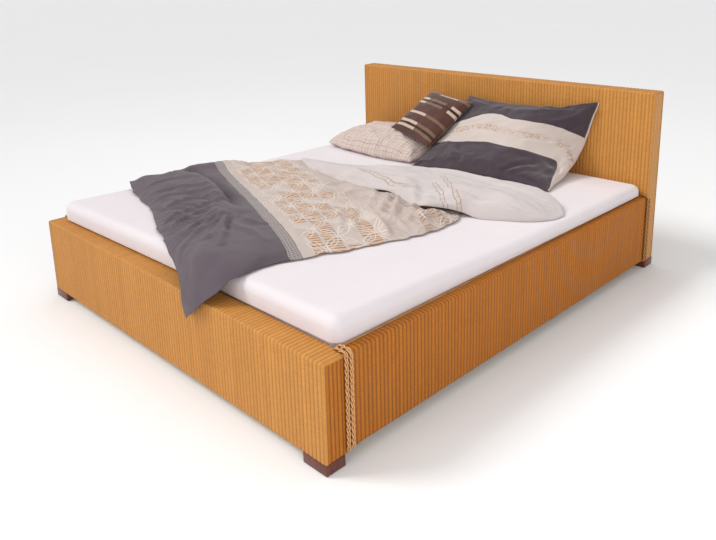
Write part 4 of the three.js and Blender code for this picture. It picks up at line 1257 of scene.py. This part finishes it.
def duvet_turned_over(look):
    """The end of the duvet that is turned over on itself, its pale underside up."""
    edges = [spline(e) for e in (FLAP_NEAR, FLAP_RIGHT, FLAP_FAR, FLAP_LEFT)]

    def place(a, b, side):
        s, t = duvet_shares(a, b)
        spot = between_edges(edges, s, t)
        x, y = spot[..., 0], spot[..., 1]
        near_seam = np.minimum(1, 12 * s * (1 - s)) * np.minimum(1, 12 * t * (1 - t))
        near_lift = 0.004 + 0.038 * smooth_step(0.64, 0.50, x) * smooth_step(-0.60, -0.10, x)
        near_lift = near_lift + 0.008 * pockets(x)
        far_lift = 0.002 + 0.018 * smooth_step(0.85, 0.50, x)
        base = near_lift * (1 - t) + far_lift * t
        crest = 0.070 - 0.040 * smooth_step(0.64, 0.90, x)
        thinner = 1 - 0.60 * smooth_step(0.05, -0.25, x) * smooth_step(0.30, 1.0, t)
        thinner = thinner * (1 - 0.45 * smooth_step(-0.20, -0.60, x))
        folds = folded(FLAP_FOLDS, x, y)
        wrinkle = folded(FLAP_CREASES, x, y)
        wrinkle += 0.010 * (creases(x, y, 0.10, 41, -0.05, 3.6) - 0.78)
        wrinkle += 0.005 * (creases(x, y, 0.045, 42, 0.1, 3.0) - 0.78)
        wrinkle += 0.0025 * (creases(x, y, 0.02, 43, 0.3, 2.0) - 0.78)
        if side > 0:
            lift = base + (crest - base + folds) * thinner * np.sqrt(near_seam)
            lift = lift + wrinkle * np.minimum(1, 2 * near_seam)
        else:
            lift = base - 0.006 * np.sqrt(near_seam)
        return np.stack([x, y, bedding_height(y) + lift], -1)

    points, faces, cloth = stuffed(160, 64, place, on_pattern(edges))
    made = piece("duvet_turned_over", points, faces, look, "duvet", cloth)
    settle(made, pressure=0.6, grow=0.02, cap=0.005, frames=9, bending=0.40)
    subdivided(made)
    show_instead("duvet")


def rounded_rings(half_x, half_y, levels, long_steps):
    """Rings of a rounded rectangle, one for each (inset, height), with its sides cut in steps."""
    corner_steps = 8
    rings = []
    for inset, z in levels:
        radius = max(MATTRESS_CORNER - inset, 0.0005)
        dx, dy = half_x - inset - radius, half_y - inset - radius
        ring = []
        for k in range(4):
            sx, sy = (1 if k in (0, 3) else -1), (1 if k < 2 else -1)
            for i in range(corner_steps + 1):
                angle = (k + i / corner_steps) * math.pi / 2
                x, y = sx * dx + radius * math.cos(angle), sy * dy + radius * math.sin(angle)
                ring.append((x, y, z))
            for i in range(1, long_steps):
                share = 1 - 2 * i / long_steps
                if k % 2 == 1:
                    ring.append((sx * (half_x - inset), sy * dy * share, z))
                else:
                    ring.append((sx * dx * share, sy * (half_y - inset), z))
        rings.append(ring)
    return np.array(rings)


def ringed_faces(count, around):
    """Faces between closed rings, and a fan from the last ring to one more point."""
    last = (count - 1) * around
    fan = [[last + k, last + (k + 1) % around, count * around] for k in range(around)]
    return grid_faces(count, around, closed=True).tolist() + fan


def edge_levels(top):
    """The insets and heights of a slab's rounded top edge."""
    return [(MATTRESS_EDGE * (1 - math.cos(t)), top - MATTRESS_EDGE * (1 - math.sin(t)))
            for t in quarter(6)]


def bedded(points, bulge_low, bulge_high, bulge_share=1.0):
    """Raises a straight mattress towards the foot and lets it bulge over the footboard. The bulge
    sets in between two heights above the board."""
    x, y, z = points[..., 0], points[..., 1], points[..., 2]
    raised = z + mattress_rise(y) * np.clip((z - MATTRESS_BOTTOM) / LIFT_FULL_AT, 0, 1)
    above = bulge_share * smooth_step(BOARD_TOP + bulge_low, BOARD_TOP + bulge_high, raised)
    at_foot = smooth_step(MATTRESS_HALF_LENGTH - BULGE_REACH, MATTRESS_HALF_LENGTH, -y)
    at_right = smooth_step(MATTRESS_HALF_WIDTH - BULGE_REACH, MATTRESS_HALF_WIDTH, x)
    to_head = smooth_step(-MATTRESS_HALF_LENGTH, MATTRESS_HALF_LENGTH, y)
    to_left = np.clip((1 - x / MATTRESS_HALF_WIDTH) / 2, 0, 1)
    foot_bulge = FOOT_BULGE_RIGHT + (FOOT_BULGE_LEFT - FOOT_BULGE_RIGHT) * to_left ** 1.5
    right_bulge = RIGHT_BULGE_FOOT + (RIGHT_BULGE_HEAD - RIGHT_BULGE_FOOT) * to_head
    x, y = x + right_bulge * above * at_right, y - foot_bulge * above * at_foot
    return np.stack([x, y, raised], -1)


def away_from_middle(points):
    """Directions from the bed's middle line, level with the floor."""
    flat = points[..., :2]
    return flat / np.maximum(np.linalg.norm(flat, axis=-1, keepdims=True), 1e-6)


def fitted_sheet(look):
    """The sheet's sides and top as one skin, with places on the cloth measured over its edges."""
    half_x = MATTRESS_HALF_WIDTH + SHEET_THICKNESS
    half_y = MATTRESS_HALF_LENGTH + SHEET_THICKNESS
    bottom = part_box("fitted_sheet")[0].z
    levels = [(0.004, bottom), (0.0, bottom + 0.006)]
    levels += [(0.0, z) for z in np.linspace(bottom + 0.02, BOARD_TOP - 0.030, 5)]
    levels += [(0.0, z) for z in np.linspace(BOARD_TOP - 0.027, BOARD_TOP + 0.015, 18)]
    levels += [(0.0, z) for z in np.linspace(BOARD_TOP + 0.020, SHEET_TOP - MATTRESS_EDGE, 3)]
    levels += edge_levels(SHEET_TOP)[1:]
    levels += [(i, SHEET_TOP) for i in np.linspace(MATTRESS_EDGE + 0.02, half_x - 0.004, 34)]
    rings = rounded_rings(half_x, half_y, levels, 60)
    run = run_along(np.array(levels))
    over_edge = np.maximum(0, run[-1] - run - (half_x - MATTRESS_EDGE))[:, None, None]
    cloth = rings[..., :2] + away_from_middle(rings) * over_edge

    points = bedded(rings, 0.0005, 0.0070)
    x, y, z = (points[..., k].copy() for k in range(3))
    level = smooth_step(SHEET_TOP - 0.03, SHEET_TOP, z - mattress_rise(y))
    soft = 0.0016 * lattice_noise(x, y, 0.22, 51) * level
    gathers = 0.0022 * (creases(np.arctan2(y, x) * 1.2, z, 0.03, 52, math.pi / 2, 3.0) - 0.6)
    points[..., 2] += np.minimum(soft, 0.0004)
    points[..., :2] += away_from_middle(points) * (np.minimum(gathers, 0) * (1 - level))[..., None]

    shape = np.vstack([points.reshape(-1, 3), [[0, 0, SHEET_TOP]]])
    onto = np.vstack([cloth.reshape(-1, 2), [[0, 0]]])
    faces = ringed_faces(*rings.shape[:2])
    made = piece("fitted_sheet_cloth", shape, faces, look, "mattress", onto)
    show_instead("fitted_sheet")


def mattress(look):
    """The mattress in its ticking, under the sheet."""
    bottom, top = MATTRESS_BOTTOM, SHEET_TOP - SHEET_THICKNESS
    levels = [(i, bottom) for i in (0.30, 0.12)]
    levels += [(MATTRESS_EDGE * (1 - math.sin(t)), bottom + MATTRESS_EDGE * (1 - math.cos(t)))
               for t in quarter(6)]
    levels += [(0.0, z) for z in np.linspace(bottom + MATTRESS_EDGE, top - MATTRESS_EDGE, 8)[1:-1]]
    levels += edge_levels(top)
    levels += [(i, top) for i in (0.10, 0.30, 0.60)]
    rings = rounded_rings(MATTRESS_HALF_WIDTH, MATTRESS_HALF_LENGTH, levels, 30)
    count, around = rings.shape[:2]
    faces = ringed_faces(count, around) + [list(range(around))[::-1]]
    cloth = rings[..., :2] + rings[..., 2:] * np.sign(rings[..., :2])
    shape = np.vstack([bedded(rings, 0.022, 0.050, 0.5).reshape(-1, 3), [[0, 0, top]]])
    onto = np.vstack([cloth.reshape(-1, 2), [[0, 0]]])
    made = piece("mattress_ticking", shape, faces, look, "mattress", onto)
    show_instead("mattress")


# The bed

look = {
    "wicker": wicker("wicker", "#CA8B40", "#A97030"),
    # Painted shade: a darker, more saturated copy of the same wicker for the side rails and the
    # footboard's end panels, which face away from the key light
    "rail_wicker_painted_shade": wicker("rail_wicker_painted_shade", "#BA6F0E", "#783A02"),
    # Painted light: a paler copy of the same wicker for the headboard's end panels
    "head_end_wicker_painted_light": wicker("head_end_wicker_painted_light", "#D0985A", "#A66F39"),
    "braid": plaited("braid", "#E0A870", "#7A451B"),
    # Painted shade: a darker copy of the braid for the braids at the head end, which stand in less
    # light
    "braid_painted_shade": plaited("braid_painted_shade", "#C58A4C", "#56300F"),
    "edging": timber("cane_edging", "#D2A066", "#A87438", "y", 0.5),
    "mahogany": timber("mahogany", "#752C17", "#421408", "z", 0.35, coat=0.3),
    "pine_x": timber("pine_across", "#DDBB8A", "#BC905A", "x"),
    "pine_y": timber("pine_along", "#DDBB8A", "#BC905A", "y"),
    "pine_z": timber("pine_upright", "#DDBB8A", "#BC905A", "z"),
    "plywood": timber("plywood", "#D8B484", "#C09562", "x", 0.6),
    "zinc": zinc("zinc_plated_steel"),
    "ticking": plain_cloth("ticking", "#ECE9E2", "#DDD8CE"),
    "sheet": plain_cloth("white_jersey", "#E6DEE0", "#E0D7DA", 0.10),
    "duvet": duvet_cloth("duvet_cotton"),
    "lining": lining_cloth("duvet_lining"),
    "checked": checked_cloth("checked_cotton"),
    "banded": banded_cloth("banded_cotton"),
    "barred": barred_cloth("barred_pile"),
}

end_board("headboard", look["wicker"], look["head_end_wicker_painted_light"])
end_board("footboard", look["wicker"], look["rail_wicker_painted_shade"])
for side, sign in (("left", -1), ("right", 1)):
    side_rail(side, sign, look["rail_wicker_painted_shade"])
    eased_board("side_rail_edging_" + side, look["edging"])
    eased_board("ledger_strip_" + side, look["pine_y"])
    braid("braid_footboard_" + side, look["braid"], turn=0.066, cord=0.0031, onto_top=0.034)
    braid("braid_headboard_" + side, look["braid_painted_shade"], turn=0.066, cord=0.0031)
    braid("braid_rail_foot_end_" + side, look["braid"], turn=0.064, cord=0.0034, onto_top=0.036)
    braid("braid_rail_head_end_" + side, look["braid_painted_shade"], turn=0.064, cord=0.0034, onto_top=0.018)
    for place in ("foot_front_", "foot_head_"):
        eased_board(place + side, look["mahogany"], 0.004)
for number in range(1, 12):
    eased_board("slat_%02d" % number, look["pine_x"], 0.003)
eased_board("centre_beam", look["pine_y"])
eased_board("centre_leg", look["pine_z"], 0.003)

# What is left of the plain solids: panels, posts, cores, brackets, hangers and cross rails
LOOK_BY_WORD = {
    "panel": "plywood", "post": "pine_z", "core": "pine_y", "bracket": "zinc", "hanger": "zinc",
}
for node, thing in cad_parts.items():
    if not thing.hide_render:
        kind = next((kind for word, kind in LOOK_BY_WORD.items() if word in node), "pine_x")
        thing.data.materials.clear()
        thing.data.materials.append(look[kind])

# Two bolts in each arm of a corner angle, on the side that faces the bed's inside
ANGLE_THICKNESS = 0.003
BOLT_FROM_END = 0.020
BOLT_FROM_CORNER = 0.030
for corner in ("head_left", "head_right", "foot_left", "foot_right"):
    low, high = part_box("corner_bracket_" + corner)
    sign_x = 1 if low.x > 0 else -1
    sign_y = 1 if low.y > 0 else -1
    x = (high.x if sign_x > 0 else low.x) - sign_x * ANGLE_THICKNESS
    y = (high.y if sign_y > 0 else low.y) - sign_y * ANGLE_THICKNESS
    for level, z in enumerate((low.z + BOLT_FROM_END, high.z - BOLT_FROM_END)):
        bolt_head("bolt_%s_rail_%d" % (corner, level), (x, y - sign_y * BOLT_FROM_CORNER, z),
                  (-sign_x, 0, 0), look["zinc"])
        bolt_head("bolt_%s_board_%d" % (corner, level), (x - sign_x * BOLT_FROM_CORNER, y, z),
                  (0, -sign_y, 0), look["zinc"])

mattress(look["ticking"])
fitted_sheet(look["sheet"])
duvet(look["duvet"])
duvet_turned_over(look["lining"])

# The pillows lie side by side. An arc holds three control points, in Y and in height.
JOINT_X = -0.105
LEFT_WIDTH = 0.745
LEFT_FRONT = 0.505
LEFT_BACK = HEAD_FACE - 0.040
pillow(
    "pillow_left", look["checked"], JOINT_X - (PILLOW_GAP + LEFT_WIDTH) / 2, LEFT_WIDTH, 0.47,
    arc=[(LEFT_FRONT, 0.022), ((LEFT_FRONT + LEFT_BACK) / 2, 0.042), (LEFT_BACK, 0.055)],
    crown=0.095, under=0.060, salt=61, lines=LEFT_PILLOW_CREASES,
    corners=[(1, -1, -0.055, 0.050, -0.008)], corner_pull=0.065,
)
RIGHT_WIDTH = 0.800
RIGHT_FRONT = HEAD_FACE - 0.475
pillow(
    "pillow_right", look["banded"], JOINT_X + (PILLOW_GAP + RIGHT_WIDTH) / 2, RIGHT_WIDTH, 0.60,
    arc=[(RIGHT_FRONT, 0.022), (RIGHT_FRONT + 0.300, 0.052), (HEAD_FACE - 0.042, 0.355)],
    crown=0.092, under=0.080, salt=71, lines=RIGHT_PILLOW_CREASES,
    corners=[(-1, -1, -0.045, -0.030, -0.014), (1, -1, -0.030, 0.060, 0.0),
             (1, 1, 0.0, 0.0, 0.024), (-1, 1, 0.010, 0.0, -0.010)],
    tucked=(0.30, -0.06), swell=(-0.060, -0.050),
)


def cushion_corners():
    """The four seam corners of the cushion's solid: left, then round its seam."""
    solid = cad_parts["cushion"]
    points = np.array([v.co for v in solid.data.vertices])
    left, near = points[points.argmin(axis=0)[:2]]
    right, far = points[points.argmax(axis=0)[:2]]
    return [left + (0, 0, 0.018), near, right + (0, 0, 0.016), far]


throw_cushion(look["barred"], cushion_corners(), crown=0.050, salt=81)


# Floor, light and camera


def studio():
    """A pale floor, a soft sun, three softboxes and even light from all round."""
    bpy.ops.mesh.primitive_plane_add(size=160)
    floor = bpy.context.active_object
    floor.name = "studio_floor"
    dye = Dye("pale_floor")
    cloud = dye.mottle(dye.place(), 0.6)
    pale = dye.blend(cloud, "#F4F4F4", "#F7F7F7")
    floor.data.materials.append(dye.finish(pale, 0.9, Specular_IOR_Level=0.1))

    def softbox(name, place, target, size, power):
        lamp = bpy.data.lights.new(name, "AREA")
        lamp.shape = "RECTANGLE"
        lamp.size, lamp.size_y = size
        lamp.energy = power
        made = bpy.data.objects.new(name, lamp)
        made.location = place
        aim = Vector(target) - Vector(place)
        made.rotation_euler = aim.to_track_quat("-Z", "Y").to_euler()
        bpy.context.scene.collection.objects.link(made)

    key = bpy.data.lights.new("key_light", "SUN")
    key.energy = 1.60
    key.angle = math.radians(22)
    lamp = bpy.data.objects.new("key_light", key)
    lamp.rotation_euler = Vector((0.50, 0.42, -0.62)).to_track_quat("-Z", "Y").to_euler()
    bpy.context.scene.collection.objects.link(lamp)
    softbox("top_softbox", (-0.6, 0.6, 4.6), (-0.4, 0.2, 0.3), (4.5, 4.5), 40)
    softbox("side_softbox", (4.2, -1.6, 2.0), (0.9, 0, 0.3), (2.4, 2.0), 46)
    softbox("front_softbox", (1.2, -4.6, 2.4), (0.2, -1.0, 0.3), (3.0, 2.0), 30)
    bpy.context.scene.view_settings.view_transform = "Standard"
    world = bpy.data.worlds.new("studio_air")
    world.use_nodes = True
    world.node_tree.nodes["Background"].inputs[0].default_value = (1.0, 1.0, 1.0, 1.0)
    world.node_tree.nodes["Background"].inputs[1].default_value = 0.54
    bpy.context.scene.world = world


PHOTO_WIDTH, PHOTO_HEIGHT = 716, 540
FOCAL, MIDDLE_X, MIDDLE_Y = 735.0, 355.0, 155.0
CAMERA_PLACE = (2.3911, -2.3576, 1.4767)
CAMERA_TURNS = (45.704, 14.176, -1.541)


def photograph_camera():
    """The camera of the photograph. Its focal length and its picture's middle are in pixels."""
    yaw, pitch, roll = (math.radians(a) for a in CAMERA_TURNS)
    level = math.cos(pitch)
    ahead = Vector((-math.sin(yaw) * level, math.cos(yaw) * level, -math.sin(pitch)))
    flat = ahead.cross(Vector((0, 0, 1))).normalized()
    steep = flat.cross(ahead)
    right = math.cos(roll) * flat + math.sin(roll) * steep
    up = -math.sin(roll) * flat + math.cos(roll) * steep
    lens = bpy.data.cameras.new("photograph_lens")
    lens.sensor_fit = "HORIZONTAL"
    lens.sensor_width = 36.0
    lens.lens = lens.sensor_width * FOCAL / PHOTO_WIDTH
    lens.shift_x = (PHOTO_WIDTH / 2 - MIDDLE_X) / PHOTO_WIDTH
    lens.shift_y = (MIDDLE_Y - PHOTO_HEIGHT / 2) / PHOTO_WIDTH
    lens.clip_end = 200
    made = bpy.data.objects.new("photograph_camera", lens)
    turned = Matrix((right, up, -ahead)).transposed().to_4x4()
    made.matrix_world = Matrix.Translation(CAMERA_PLACE) @ turned
    bpy.context.scene.collection.objects.link(made)
    bpy.context.scene.camera = made


studio()
photograph_camera()
